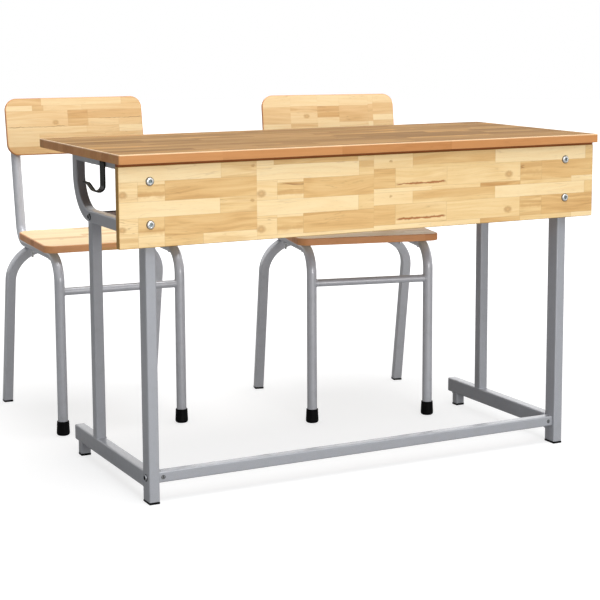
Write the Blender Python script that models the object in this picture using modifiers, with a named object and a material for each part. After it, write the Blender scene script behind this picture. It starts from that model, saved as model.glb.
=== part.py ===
"""School desk for two pupils with two chairs: steel tube frames, boards on top of them.

Metres, +Z up. The desk's front panel faces -Y and the chairs stand at +Y. The set stands
centred over the origin, on the floor at z = 0.
"""

import math

import bmesh
import bpy
import numpy as np
from mathutils import Matrix, Vector

# Clearances and wall thicknesses shared by the whole set
GAP = 0.0003
HOLE_CLEARANCE = 0.0004
CUT_OVERRUN = 0.004
TUBE_WALL = 0.0015
TUBE_CORNER = 0.003
BOARD_EDGE_ROUND = 0.0012
MERGE = 0.00005

# Desk boards
TOP_WIDTH = 1.2
TOP_DEPTH = 0.52
TOP_THICKNESS = 0.02
TOP_CORNER = 0.003
DESK_HEIGHT = 0.75
PANEL_SIDE_INSET = 0.003
PANEL_HEIGHT = 0.17
PANEL_THICKNESS = 0.017
PANEL_SETBACK = 0.015
PANEL_DROP = 0.0055
SHELF_THICKNESS = 0.015
SHELF_SIDE_CLEARANCE = 0.0015
SHELF_NOTCH_WIDTH = 0.014
SHELF_NOTCH_DEPTH = 0.02
BATTEN_SIZE = 0.02

# Desk frame tubes
TOP_SIDE_OVERHANG = 0.0655
TOP_REAR_OVERHANG = 0.035
LEG_WIDTH = 0.024
FRONT_LEG_DEPTH = 0.038
REAR_LEG_DEPTH = 0.025
REAR_LEG_INSET = 0.125
BOW_WIDTH = 0.022
BOW_DEPTH = 0.028
BOW_DROP = 0.163
BOW_BEND_RADIUS = 0.094
FOOT_RAIL_BOTTOM = 0.032
FOOT_RAIL_HEIGHT = 0.036
FOOT_RAIL_PAST_BOW = 0.027
STUB_INSET = 0.021
STUB_DEPTH = 0.022
CROSS_BAR_SIZE = 0.024
SHELF_RAIL_BEHIND_LEG = 0.004
SHELF_RAIL_SIZE = 0.02
SHELF_RAIL_RISE = 0.003
SHELF_RAIL_FLANGE = 0.002
SHELF_RAIL_END_PLATE = 0.003

# Floor caps under the square tubes
CAP_HEIGHT = 0.005
CAP_PLUG_HEIGHT = 0.012

# Bag hook, a bent flat strip
HOOK_SETBACK = 0.275
HOOK_STRIP_WIDTH = 0.03
HOOK_STRIP_THICKNESS = 0.003
HOOK_TOP_DROP = 0.006
HOOK_STEM_LENGTH = 0.0635
HOOK_BEND_RADIUS = 0.013
HOOK_BEND_TURN = math.radians(145.0)
HOOK_ARM_LENGTH = 0.018
HOOK_TIP_RADIUS = 0.005
HOOK_TIP_LENGTH = 0.003

# Bolts of the desk
BOLT_SHANK_RADIUS = 0.003
PANEL_BOLT_HEAD_RADIUS = 0.0095
PANEL_BOLT_HEAD_HEIGHT = 0.004
PANEL_BOLT_ABOVE_EDGE = 0.0475
PANEL_BOLT_BELOW_EDGE = 0.0325
PANEL_BOLT_SHIFT = -0.0055
FRAME_BOLT_HEAD_RADIUS = 0.0075
FRAME_BOLT_HEAD_HEIGHT = 0.004
SOCKET_RADIUS = 0.0032
SOCKET_DEPTH = 0.0022
HEAD_RIM_SHARE = 0.25
HEAD_DOME_TURN = math.radians(58.0)
NUT_RADIUS = 0.0058
NUT_HEIGHT = 0.005
THREAD_PAST_NUT = 0.003
BARREL_NUT_RADIUS = 0.005
BARREL_NUT_INSET = 0.0105

# Chair boards
SEAT_HEIGHT = 0.474
SEAT_WIDTH = 0.374
SEAT_DEPTH = 0.32
SEAT_THICKNESS = 0.018
SEAT_FRONT_CORNER = 0.028
SEAT_REAR_CORNER = 0.045
BACKREST_WIDTH = 0.373
BACKREST_HEIGHT = 0.15
BACKREST_THICKNESS = 0.013
BACKREST_CORNER = 0.03
BACKREST_ABOVE_SEAT = 0.188

# Chair frame
CHAIR_TUBE_RADIUS = 0.0125
FRONT_LEG_HALF_SPAN = 0.1545
POST_HALF_SPAN = 0.162
FRONT_LEG_SETBACK = 0.003
POST_FOOT_SETBACK = 0.363
POST_LEAN = math.radians(11.3)
POST_UP_BACKREST = 0.128
KNEE_BEND_RADIUS = 0.06
HIP_BEND_RADIUS = 0.05
REAR_TUBE_SIZE = 0.024
REAR_HALF_SPAN = 0.202
REAR_BEND_RADIUS = 0.09
REAR_TOP_SETBACK = 0.312
REAR_TOP_DROP = 0.0132
REAR_LEAN = math.radians(13.1)
STRETCHER_RADIUS = 0.0095
STRETCHER_HEIGHT = 0.36

# Chair feet and fasteners
FERRULE_RADIUS = 0.0163
FERRULE_TOP_RADIUS = 0.015
FERRULE_HEIGHT = 0.036
FERRULE_FLOOR = 0.006
FERRULE_EDGE_ROUND = 0.006
STUD_SETBACK = 0.255
STUD_DEPTH_IN_SEAT = 0.01
STUD_TAIL = 0.014
SCREW_RADIUS = 0.0022
SCREW_HEAD_RADIUS = 0.0055
SCREW_HEAD_HEIGHT = 0.003
SCREW_DEPTH_IN_BOARD = 0.008
SCREW_RISE_SHARE = 0.5

# Where the two chairs stand: across the desk, from its top's rear edge, and their turn
LEFT_CHAIR_SHIFT = -0.3564
LEFT_CHAIR_BEHIND_TOP = 0.1419
LEFT_CHAIR_TURN = math.radians(-4.0)
RIGHT_CHAIR_SHIFT = 0.2416
RIGHT_CHAIR_UNDER_TOP = 0.0617
RIGHT_CHAIR_TURN = math.radians(-12.5)

# Facets
BEND_STEPS = 6
ROUND_SIDES = 12
SMALL_SIDES = 10
DOME_STEPS = 2
CORNER_STEPS = 1
PLATE_CORNER_STEPS = 6
FULL_TURN = 2.0 * math.pi
QUARTER_TURN = 0.5 * math.pi
EIGHTH_TURN = 0.25 * math.pi
HEX_SIDES = 6

# Places worked out from the sizes above
PANEL_WIDTH = TOP_WIDTH - 2 * PANEL_SIDE_INSET
FRAME_HALF_WIDTH = TOP_WIDTH / 2 - TOP_SIDE_OVERHANG
BOW_REAR = TOP_DEPTH - TOP_REAR_OVERHANG
REAR_LEG_SETBACK = BOW_REAR - REAR_LEG_INSET
FOOT_RAIL_REAR = BOW_REAR + FOOT_RAIL_PAST_BOW
STUB_SETBACK = FOOT_RAIL_REAR - STUB_INSET - STUB_DEPTH
SHELF_RAIL_SETBACK = REAR_LEG_SETBACK + SHELF_RAIL_BEHIND_LEG
TOP_UNDERSIDE = DESK_HEIGHT - TOP_THICKNESS
PANEL_TOP = TOP_UNDERSIDE - PANEL_DROP
PANEL_BOTTOM = PANEL_TOP - PANEL_HEIGHT
BOW_UNDERSIDE = TOP_UNDERSIDE - BOW_DROP
SHELF_RAIL_BOTTOM = BOW_UNDERSIDE + SHELF_RAIL_RISE
RAIL_UNDERSIDE = TOP_UNDERSIDE - GAP - BOW_DEPTH
LEG_FRONT = PANEL_SETBACK + PANEL_THICKNESS + GAP
LEG_BACK = LEG_FRONT + FRONT_LEG_DEPTH
LEG_CENTRE = FRAME_HALF_WIDTH - LEG_WIDTH / 2
BOW_CENTRE = FRAME_HALF_WIDTH - BOW_WIDTH / 2
CROSS_BAR_HEIGHT = FOOT_RAIL_BOTTOM + FOOT_RAIL_HEIGHT - CROSS_BAR_SIZE / 2
CROSS_BAR_SETBACK = LEG_FRONT + FRONT_LEG_DEPTH / 2
SHELF_UNDERSIDE = SHELF_RAIL_BOTTOM + SHELF_RAIL_FLANGE + GAP
SEAT_UNDERSIDE = SEAT_HEIGHT - SEAT_THICKNESS
SIDE_RAIL_HEIGHT = SEAT_UNDERSIDE - GAP - CHAIR_TUBE_RADIUS
RAIL_LENGTH = POST_FOOT_SETBACK - FRONT_LEG_SETBACK
BACKREST_BOTTOM = SEAT_HEIGHT + BACKREST_ABOVE_SEAT
POST_TOP = BACKREST_BOTTOM + POST_UP_BACKREST

CHAIRS = {
    "left_chair": (LEFT_CHAIR_SHIFT, TOP_DEPTH + LEFT_CHAIR_BEHIND_TOP, LEFT_CHAIR_TURN),
    "right_chair": (RIGHT_CHAIR_SHIFT, TOP_DEPTH - RIGHT_CHAIR_UNDER_TOP, RIGHT_CHAIR_TURN),
}

FINISHES = {
    "powder_coat": ((0.38, 0.39, 0.41), 0.45, 0.35),
    "rubberwood": ((0.83, 0.62, 0.36), 0.5, 0.0),
    "top_board": ((0.47, 0.34, 0.18), 0.5, 0.0),
    "shelf_board": ((0.28, 0.14, 0.09), 0.55, 0.0),
    "black_rubber": ((0.02, 0.02, 0.022), 0.6, 0.0),
    "hook_black": ((0.03, 0.032, 0.028), 0.4, 0.2),
    "zinc": ((0.62, 0.61, 0.57), 0.3, 0.9),
}


def clear_scene():
    for old in list(bpy.data.objects):
        bpy.data.objects.remove(old, do_unlink=True)


def make_collection(name):
    collection = bpy.data.collections.new(name)
    bpy.context.scene.collection.children.link(collection)
    return collection


clear_scene()
PARTS = make_collection("school_desk_and_chairs")
CUTTERS = make_collection("cutters")


def finish(name):
    material = bpy.data.materials.get(name)
    if material is None:
        colour, roughness, metallic = FINISHES[name]
        material = bpy.data.materials.new(name)
        material.use_nodes = True
        shader = material.node_tree.nodes["Principled BSDF"]
        shader.inputs["Base Color"].default_value = (*colour, 1.0)
        shader.inputs["Roughness"].default_value = roughness
        shader.inputs["Metallic"].default_value = metallic
    return material


def add_part(name, mesh, finish_name, parent=None):
    part = bpy.data.objects.new(name, mesh)
    PARTS.objects.link(part)
    mesh.materials.clear()
    mesh.materials.append(finish(finish_name))
    mesh.shade_smooth()
    mesh.set_sharp_from_angle(angle=EIGHTH_TURN)
    part.parent = parent
    return part


def add_cutter(name, mesh, parent=None):
    cutter = bpy.data.objects.new(name, mesh)
    CUTTERS.objects.link(cutter)
    cutter.hide_render = True
    cutter.display_type = "WIRE"
    cutter.parent = parent
    return cutter


def combine(part, other, operation):
    step = part.modifiers.new(operation.lower(), "BOOLEAN")
    step.operation = operation
    step.object = other
    step.solver = "EXACT"


def mesh_from(name, build):
    bm = bmesh.new()
    build(bm)
    mesh = bpy.data.meshes.new(name)
    bm.to_mesh(mesh)
    bm.free()
    return mesh


# Basic shapes
def box_mesh(name, low, high, edge_round=0.0):
    low = Vector(low)
    high = Vector(high)

    def build(bm):
        bmesh.ops.create_cube(bm, size=1.0)
        bmesh.ops.scale(bm, vec=high - low, verts=bm.verts)
        bmesh.ops.translate(bm, vec=(low + high) / 2, verts=bm.verts)
        if edge_round:
            bmesh.ops.bevel(bm, geom=bm.edges[:], offset=edge_round, segments=1, profile=0.5,
                            affect="EDGES", material=-1)

    return mesh_from(name, build)


def rod_mesh(name, start, direction, length, radius, sides=SMALL_SIDES):
    """A cylinder or prism whose first end lies at start."""
    turn = Vector(direction).to_track_quat("Z", "Y").to_matrix().to_4x4()

    def build(bm):
        bmesh.ops.create_cone(bm, cap_ends=True, cap_tris=False, segments=sides, radius1=radius,
                              radius2=radius, depth=length)
        bmesh.ops.translate(bm, vec=(0.0, 0.0, length / 2), verts=bm.verts)
        bmesh.ops.transform(bm, matrix=Matrix.Translation(start) @ turn, verts=bm.verts)

    return mesh_from(name, build)


def circumscribed(radius):
    """Corner radius of a round cutter whose flat sides still clear this radius."""
    return radius / math.cos(math.pi / ROUND_SIDES)


def turned_mesh(name, profile, start, direction, sides=SMALL_SIDES):
    """A solid of revolution from a profile of (radius, height) pairs, top to bottom outside."""
    turn = Vector(direction).to_track_quat("Z", "Y").to_matrix().to_4x4()

    def build(bm):
        points = [bm.verts.new((radius, 0.0, height)) for radius, height in profile]
        line = [bm.edges.new(pair) for pair in zip(points, points[1:])]
        bmesh.ops.spin(bm, geom=points + line, cent=(0.0, 0.0, 0.0), axis=(0.0, 0.0, 1.0),
                       angle=FULL_TURN, steps=sides, use_merge=True)
        bmesh.ops.remove_doubles(bm, verts=bm.verts, dist=MERGE)
        bmesh.ops.recalc_face_normals(bm, faces=bm.faces)
        bmesh.ops.transform(bm, matrix=Matrix.Translation(start) @ turn, verts=bm.verts)

    return mesh_from(name, build)


def rounded_outline(width, depth, radii, steps):
    """Corner points of a rectangle centred on zero; radii run counter-clockwise from +x +y."""
    signs = ((1, 1), (-1, 1), (-1, -1), (1, -1))
    points = []
    for corner, ((sign_x, sign_y), radius) in enumerate(zip(signs, radii)):
        centre_x = sign_x * (width / 2 - radius)
        centre_y = sign_y * (depth / 2 - radius)
        for step in range(steps + 1):
            angle = (corner + step / steps) * QUARTER_TURN
            points.append((centre_x + radius * math.cos(angle), centre_y + radius * math.sin(angle)))
    return points


def outline_curve(name, points, extrude=0.0):
    curve = bpy.data.curves.new(name, "CURVE")
    curve.dimensions = "2D"
    curve.fill_mode = "BOTH" if extrude else "NONE"
    curve.extrude = extrude
    spline = curve.splines.new("POLY")
    spline.points.add(len(points) - 1)
    for point, (x, y) in zip(spline.points, points):
        point.co = (x, y, 0.0, 1.0)
    spline.use_cyclic_u = True
    return curve


def evaluated_mesh(name, data):
    """Turns a curve into a mesh with its caps welded on."""
    holder = bpy.data.objects.new(name, data)
    bpy.context.scene.collection.objects.link(holder)
    graph = bpy.context.evaluated_depsgraph_get()
    mesh = bpy.data.meshes.new_from_object(holder.evaluated_get(graph))
    bpy.data.objects.remove(holder, do_unlink=True)
    bm = bmesh.new()
    bm.from_mesh(mesh)
    bmesh.ops.remove_doubles(bm, verts=bm.verts, dist=MERGE)
    bmesh.ops.recalc_face_normals(bm, faces=bm.faces)
    bm.to_mesh(mesh)
    bm.free()
    return mesh


def board_mesh(name, width, depth, thickness, radii):
    points = rounded_outline(width, depth, radii, PLATE_CORNER_STEPS)
    return evaluated_mesh(name, outline_curve(name, points, extrude=thickness / 2))


def filleted_path(corners, radii):
    """Points of a bent tube's centre line: straight runs joined by arcs."""
    corners = [Vector(corner) for corner in corners]
    path = [corners[0]]
    for before, corner, after, radius in zip(corners, corners[1:], corners[2:], radii):
        inward = (before - corner).normalized()
        outward = (after - corner).normalized()
        half_angle = inward.angle(outward) / 2
        reach = radius / math.tan(half_angle)
        bisector = (inward + outward).normalized()
        centre = corner + bisector * (radius / math.sin(half_angle))
        start = corner + inward * reach - centre
        end = corner + outward * reach - centre
        sweep = start.angle(end)
        for step in range(BEND_STEPS + 1):
            angle = sweep * step / BEND_STEPS
            share = math.sin(angle) / math.sin(sweep)
            rest = math.sin(sweep - angle) / math.sin(sweep)
            path.append(centre + start * rest + end * share)
    path.append(corners[-1])
    return path


def tube_mesh(name, path, radius=0.0, section=None):
    """The outer skin of a tube: round with a radius, or along a (width, depth) section."""
    curve = bpy.data.curves.new(name, "CURVE")
    curve.dimensions = "3D"
    curve.twist_mode = "Z_UP"
    spline = curve.splines.new("POLY")
    spline.points.add(len(path) - 1)
    for point, place in zip(spline.points, path):
        point.co = (*place, 1.0)
    profile = None
    if section:
        points = rounded_outline(*section, (TUBE_CORNER,) * 4, CORNER_STEPS)
        profile = bpy.data.objects.new(name + "_section", outline_curve(name + "_section", points))
        bpy.context.scene.collection.objects.link(profile)
        curve.bevel_mode = "OBJECT"
        curve.bevel_object = profile
    else:
        curve.bevel_depth = radius
        curve.bevel_resolution = (ROUND_SIDES - 4) // 2
    mesh = evaluated_mesh(name, curve)
    if profile:
        bpy.data.objects.remove(profile, do_unlink=True)
    return mesh


def add_tube(name, path, radius=0.0, section=None, parent=None):
    part = add_part(name, tube_mesh(name, path, radius, section), "powder_coat", parent)
    wall = part.modifiers.new("wall", "SOLIDIFY")
    wall.thickness = TUBE_WALL
    wall.offset = -1.0
    wall.use_even_offset = True
    return part


def bore(part, start, direction, length, radius, parent=None):
    start = Vector(start) - Vector(direction) * CUT_OVERRUN
    mesh = rod_mesh(part.name + "_bore", start, direction, length + 2 * CUT_OVERRUN,
                    radius + HOLE_CLEARANCE)
    combine(part, add_cutter(part.name + "_bore", mesh, parent), "DIFFERENCE")


def cut_box(part, low, high, parent=None):
    mesh = box_mesh(part.name + "_cut", low, high)
    combine(part, add_cutter(part.name + "_cut", mesh, parent), "DIFFERENCE")


def domed_head(radius, height, shank_radius, shank_length):
    """Profile of a button head bolt whose head stands above zero and shank runs below it."""
    rim = height * HEAD_RIM_SHARE
    turns = [HEAD_DOME_TURN * step / DOME_STEPS for step in range(DOME_STEPS, -1, -1)]
    arc = [(radius * math.cos(turn), rim + (height - rim) * math.sin(turn)) for turn in turns]
    socket = [(0.0, height - SOCKET_DEPTH), (SOCKET_RADIUS, height - SOCKET_DEPTH),
              (SOCKET_RADIUS, arc[0][1])]
    shank = [(radius, 0.0), (shank_radius, 0.0), (shank_radius, -shank_length), (0.0, -shank_length)]
    return socket + arc + shank


# Desk
def desk_boards(desk):
    half_depth = TOP_DEPTH / 2
    top = add_part("desk_top", board_mesh("desk_top", TOP_WIDTH, TOP_DEPTH, TOP_THICKNESS,
                                          (TOP_CORNER,) * 4), "top_board", desk)
    top.location = (0.0, half_depth, DESK_HEIGHT - TOP_THICKNESS / 2)

    panel = add_part("modesty_panel", box_mesh(
        "modesty_panel",
        (-PANEL_WIDTH / 2, PANEL_SETBACK, PANEL_BOTTOM),
        (PANEL_WIDTH / 2, PANEL_SETBACK + PANEL_THICKNESS, PANEL_TOP),
        BOARD_EDGE_ROUND), "rubberwood", desk)

    shelf_half = FRAME_HALF_WIDTH - LEG_WIDTH - SHELF_SIDE_CLEARANCE
    shelf_back = SHELF_RAIL_SETBACK + SHELF_RAIL_SIZE - SHELF_RAIL_FLANGE - GAP
    shelf = add_part("book_shelf", box_mesh(
        "book_shelf",
        (-shelf_half, LEG_FRONT, SHELF_UNDERSIDE),
        (shelf_half, shelf_back, SHELF_UNDERSIDE + SHELF_THICKNESS)), "shelf_board", desk)
    for side in (-1, 1):
        inner = side * (shelf_half - SHELF_NOTCH_WIDTH)
        outer = side * (shelf_half + CUT_OVERRUN)
        cut_box(shelf,
                (min(inner, outer), shelf_back - SHELF_NOTCH_DEPTH, SHELF_UNDERSIDE - CUT_OVERRUN),
                (max(inner, outer), shelf_back + CUT_OVERRUN,
                 SHELF_UNDERSIDE + SHELF_THICKNESS + CUT_OVERRUN), desk)

    add_part("shelf_batten", box_mesh(
        "shelf_batten",
        (-shelf_half, LEG_FRONT, SHELF_UNDERSIDE - GAP - BATTEN_SIZE),
        (shelf_half, LEG_FRONT + BATTEN_SIZE, SHELF_UNDERSIDE - GAP)), "rubberwood", desk)
    return panel


def floor_cap(name, width, depth, centre, lean=Vector((0.0, 0.0, 1.0)), parent=None):
    """A plate under a tube with a plug that reaches up inside it."""
    rim = TUBE_WALL + 2 * GAP

    def build(bm):
        bmesh.ops.create_cube(bm, size=1.0)
        bmesh.ops.scale(bm, vec=(width, depth, CAP_HEIGHT), verts=bm.verts)
        bmesh.ops.translate(bm, vec=(0.0, 0.0, CAP_HEIGHT / 2), verts=bm.verts)
        upright = [edge for edge in bm.edges if abs(edge.verts[0].co.z - edge.verts[1].co.z) > MERGE]
        bmesh.ops.bevel(bm, geom=upright, offset=TUBE_CORNER, segments=CORNER_STEPS, profile=0.5,
                        affect="EDGES", material=-1)
        bm.normal_update()
        upper = [face for face in bm.faces if face.normal.z > math.cos(EIGHTH_TURN)]
        bmesh.ops.inset_region(bm, faces=upper, thickness=rim, use_even_offset=True)
        raised = bmesh.ops.extrude_face_region(bm, geom=upper)
        bmesh.ops.delete(bm, geom=upper, context="FACES_ONLY")
        moved = [item for item in raised["geom"] if isinstance(item, bmesh.types.BMVert)]
        bmesh.ops.translate(bm, vec=lean * (CAP_PLUG_HEIGHT / lean.z), verts=moved)
        bmesh.ops.translate(bm, vec=centre, verts=bm.verts)

    return add_part(name, mesh_from(name, build), "black_rubber", parent)


def side_frame(side, label, desk):
    """The welded frame at one end of the desk; side is -1 for left and 1 for right."""
    x_leg = side * LEG_CENTRE
    x_bow = side * BOW_CENTRE
    leg_foot = CAP_HEIGHT + GAP
    y_front = LEG_FRONT + FRONT_LEG_DEPTH / 2
    y_rear = REAR_LEG_SETBACK + REAR_LEG_DEPTH / 2
    rail_mid = FOOT_RAIL_BOTTOM + FOOT_RAIL_HEIGHT / 2

    front_leg = add_tube(label + "_front_leg",
                         [(x_leg, y_front, leg_foot), (x_leg, y_front, RAIL_UNDERSIDE - GAP)],
                         section=(LEG_WIDTH, FRONT_LEG_DEPTH), parent=desk)
    rear_leg_top = BOW_UNDERSIDE - GAP
    rear_leg_foot = FOOT_RAIL_BOTTOM + FOOT_RAIL_HEIGHT + GAP
    add_tube(label + "_rear_leg", [(x_leg, y_rear, rear_leg_foot), (x_leg, y_rear, rear_leg_top)],
             section=(LEG_WIDTH, REAR_LEG_DEPTH), parent=desk)

    y_upright = BOW_REAR - BOW_DEPTH / 2
    bow_mid = BOW_UNDERSIDE + BOW_DEPTH / 2
    bow_path = filleted_path([(x_bow, LEG_BACK + GAP, bow_mid), (x_bow, y_upright, bow_mid),
                              (x_bow, y_upright, TOP_UNDERSIDE - GAP)], [BOW_BEND_RADIUS])
    bow = add_tube(label + "_shelf_bow", bow_path, section=(BOW_WIDTH, BOW_DEPTH), parent=desk)
    rail_level = TOP_UNDERSIDE - GAP - BOW_DEPTH / 2
    add_tube(label + "_top_rail",
             [(x_bow, LEG_FRONT, rail_level), (x_bow, BOW_REAR - BOW_DEPTH - GAP, rail_level)],
             section=(BOW_WIDTH, BOW_DEPTH), parent=desk)

    add_tube(label + "_foot_rail", [(x_leg, LEG_BACK + GAP, rail_mid), (x_leg, FOOT_RAIL_REAR, rail_mid)],
             section=(LEG_WIDTH, FOOT_RAIL_HEIGHT), parent=desk)
    y_stub = STUB_SETBACK + STUB_DEPTH / 2
    add_tube(label + "_stub_foot", [(x_leg, y_stub, leg_foot), (x_leg, y_stub, FOOT_RAIL_BOTTOM - GAP)],
             section=(LEG_WIDTH, STUB_DEPTH), parent=desk)
    floor_cap(label + "_front_cap", LEG_WIDTH, FRONT_LEG_DEPTH, (x_leg, y_front, 0.0), parent=desk)
    floor_cap(label + "_rear_cap", LEG_WIDTH, STUB_DEPTH, (x_leg, y_stub, 0.0), parent=desk)
    return front_leg, bow


def cross_members(desk):
    inner = FRAME_HALF_WIDTH - LEG_WIDTH - GAP
    ends = [(x_end, CROSS_BAR_SETBACK, CROSS_BAR_HEIGHT) for x_end in (-inner, inner)]
    bar = add_tube("front_cross_bar", ends, section=(CROSS_BAR_SIZE, CROSS_BAR_SIZE), parent=desk)
    rail_end = FRAME_HALF_WIDTH - BOW_WIDTH - GAP
    rail_top = SHELF_RAIL_BOTTOM + SHELF_RAIL_SIZE
    shelf_rail = add_part("rear_shelf_rail", box_mesh(
        "rear_shelf_rail",
        (-rail_end, SHELF_RAIL_SETBACK, SHELF_RAIL_BOTTOM),
        (rail_end, SHELF_RAIL_SETBACK + SHELF_RAIL_SIZE, rail_top)), "powder_coat", desk)
    pocket = rail_end - SHELF_RAIL_END_PLATE
    cut_box(shelf_rail,
            (-pocket, SHELF_RAIL_SETBACK - CUT_OVERRUN, SHELF_RAIL_BOTTOM + SHELF_RAIL_FLANGE),
            (pocket, SHELF_RAIL_SETBACK + SHELF_RAIL_SIZE - SHELF_RAIL_FLANGE, rail_top + CUT_OVERRUN), desk)
    return bar, shelf_rail


def panel_bolts(panel, front_legs, desk):
    """Button head bolts through the panel and the front legs, each with its nut behind."""
    length = PANEL_THICKNESS + GAP + FRONT_LEG_DEPTH + NUT_HEIGHT + THREAD_PAST_NUT
    backward = (0.0, 1.0, 0.0)
    for side, label in ((-1, "left"), (1, "right")):
        x_bolt = side * LEG_CENTRE + PANEL_BOLT_SHIFT
        for height, level in ((PANEL_BOTTOM + PANEL_BOLT_ABOVE_EDGE, "lower"),
                              (PANEL_TOP - PANEL_BOLT_BELOW_EDGE, "upper")):
            name = f"{label}_{level}_panel_bolt"
            seat = (x_bolt, PANEL_SETBACK - GAP, height)
            profile = domed_head(PANEL_BOLT_HEAD_RADIUS, PANEL_BOLT_HEAD_HEIGHT, BOLT_SHANK_RADIUS, length)
            bolt = add_part(name, turned_mesh(name, profile, seat, (0.0, -1.0, 0.0)), "zinc", desk)
            nut = rod_mesh(name + "_nut", (x_bolt, LEG_BACK + GAP, height), backward, NUT_HEIGHT,
                           NUT_RADIUS, HEX_SIDES)
            combine(bolt, add_cutter(name + "_nut", nut, desk), "UNION")
            start = (x_bolt, PANEL_SETBACK, height)
            bore(panel, start, backward, PANEL_THICKNESS, BOLT_SHANK_RADIUS, desk)
            bore(front_legs[side], (x_bolt, LEG_FRONT, height), backward, FRONT_LEG_DEPTH,
                 BOLT_SHANK_RADIUS, desk)


def cross_bar_bolts(bar, front_legs, desk):
    """Bolts through the front legs into barrel nuts inside the cross bar's ends."""
    barrel_reach = LEG_WIDTH + GAP + BARREL_NUT_INSET
    barrel_half = CROSS_BAR_SIZE / 2 - TUBE_WALL - GAP
    for side, label in ((-1, "left"), (1, "right")):
        name = label + "_cross_bar_bolt"
        inward = (-side, 0.0, 0.0)
        seat = (side * (FRAME_HALF_WIDTH + GAP), CROSS_BAR_SETBACK, CROSS_BAR_HEIGHT)
        length = barrel_reach + BARREL_NUT_RADIUS + THREAD_PAST_NUT
        profile = domed_head(FRAME_BOLT_HEAD_RADIUS, FRAME_BOLT_HEAD_HEIGHT, BOLT_SHANK_RADIUS, length)
        bolt = add_part(name, turned_mesh(name, profile, seat, (side, 0.0, 0.0)), "zinc", desk)
        x_nut = side * (FRAME_HALF_WIDTH - barrel_reach)
        nut = rod_mesh(name + "_nut", (x_nut, CROSS_BAR_SETBACK - barrel_half, CROSS_BAR_HEIGHT),
                       (0.0, 1.0, 0.0), 2 * barrel_half, BARREL_NUT_RADIUS)
        combine(bolt, add_cutter(name + "_nut", nut, desk), "UNION")
        bore(front_legs[side], (side * FRAME_HALF_WIDTH, CROSS_BAR_SETBACK, CROSS_BAR_HEIGHT),
             inward, LEG_WIDTH, BOLT_SHANK_RADIUS, desk)
        front_wall = (x_nut, CROSS_BAR_SETBACK - CROSS_BAR_SIZE / 2, CROSS_BAR_HEIGHT)
        bore(bar, front_wall, (0.0, 1.0, 0.0), TUBE_WALL, BARREL_NUT_RADIUS, desk)


def shelf_bolts(shelf_rail, bows, desk):
    """Bolts through the bows and the shelf rail's end plates, each with its nut inside."""
    length = BOW_WIDTH + GAP + SHELF_RAIL_END_PLATE + NUT_HEIGHT + THREAD_PAST_NUT
    setback = SHELF_RAIL_SETBACK + SHELF_RAIL_SIZE / 2
    height = SHELF_RAIL_BOTTOM + SHELF_RAIL_SIZE / 2
    for side, label in ((-1, "left"), (1, "right")):
        name = label + "_shelf_bolt"
        inward = Vector((-side, 0.0, 0.0))
        place = Vector((side * FRAME_HALF_WIDTH, setback, height))
        profile = domed_head(FRAME_BOLT_HEAD_RADIUS, FRAME_BOLT_HEAD_HEIGHT, BOLT_SHANK_RADIUS, length)
        bolt = add_part(name, turned_mesh(name, profile, place - inward * GAP, -inward), "zinc", desk)
        plate_inside = BOW_WIDTH + GAP + SHELF_RAIL_END_PLATE
        nut = rod_mesh(name + "_nut", place + inward * (plate_inside + GAP), inward, NUT_HEIGHT,
                       NUT_RADIUS, HEX_SIDES)
        combine(bolt, add_cutter(name + "_nut", nut, desk), "UNION")
        bore(bows[side], place, inward, BOW_WIDTH, BOLT_SHANK_RADIUS, desk)
        bore(shelf_rail, place + inward * BOW_WIDTH, inward, SHELF_RAIL_END_PLATE, BOLT_SHANK_RADIUS, desk)


def bag_hook(side, label, desk):
    """A flat strip on the top rail's outer face: bent up into a slanting arm with a curled tip."""
    name = label + "_bag_hook"
    x_stem = FRAME_HALF_WIDTH + GAP + HOOK_STRIP_THICKNESS / 2
    z_top = TOP_UNDERSIDE - HOOK_TOP_DROP
    turn = HOOK_BEND_TURN
    arm = Vector((math.sin(turn), -math.cos(turn)))
    bend_start = Vector((x_stem, z_top - HOOK_STEM_LENGTH))
    bend_centre = bend_start + Vector((HOOK_BEND_RADIUS, 0.0))
    outline = [Vector((x_stem, z_top))]
    steps = 2 * BEND_STEPS
    for step in range(steps + 1):
        angle = turn * step / steps
        outline.append(bend_centre - Vector((math.cos(angle), math.sin(angle))) * HOOK_BEND_RADIUS)
    tip_start = outline[-1] + arm * HOOK_ARM_LENGTH
    tip_centre = tip_start + Vector((-arm.y, arm.x)) * -HOOK_TIP_RADIUS
    for step in range(BEND_STEPS + 1):
        angle = (turn - QUARTER_TURN) * (1 - step / BEND_STEPS)
        outline.append(tip_centre + Vector((-math.sin(angle), math.cos(angle))) * HOOK_TIP_RADIUS)
    outline.append(outline[-1] + Vector((HOOK_TIP_LENGTH, 0.0)))

    def build(bm):
        near = HOOK_SETBACK - HOOK_STRIP_WIDTH / 2
        points = [bm.verts.new((side * x, near, z)) for x, z in outline]
        line = [bm.edges.new(pair) for pair in zip(points, points[1:])]
        swept = bmesh.ops.extrude_edge_only(bm, edges=line)
        moved = [item for item in swept["geom"] if isinstance(item, bmesh.types.BMVert)]
        bmesh.ops.translate(bm, vec=(0.0, HOOK_STRIP_WIDTH, 0.0), verts=moved)

    hook = add_part(name, mesh_from(name, build), "hook_black", desk)
    strip = hook.modifiers.new("thickness", "SOLIDIFY")
    strip.thickness = HOOK_STRIP_THICKNESS
    strip.offset = 0.0
    strip.use_even_offset = True


def build_desk(desk):
    panel = desk_boards(desk)
    front_legs = {}
    bows = {}
    for side, label in ((-1, "left"), (1, "right")):
        front_legs[side], bows[side] = side_frame(side, label, desk)
        bag_hook(side, label, desk)
    bar, shelf_rail = cross_members(desk)
    panel_bolts(panel, front_legs, desk)
    cross_bar_bolts(bar, front_legs, desk)
    shelf_bolts(shelf_rail, bows, desk)


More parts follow.
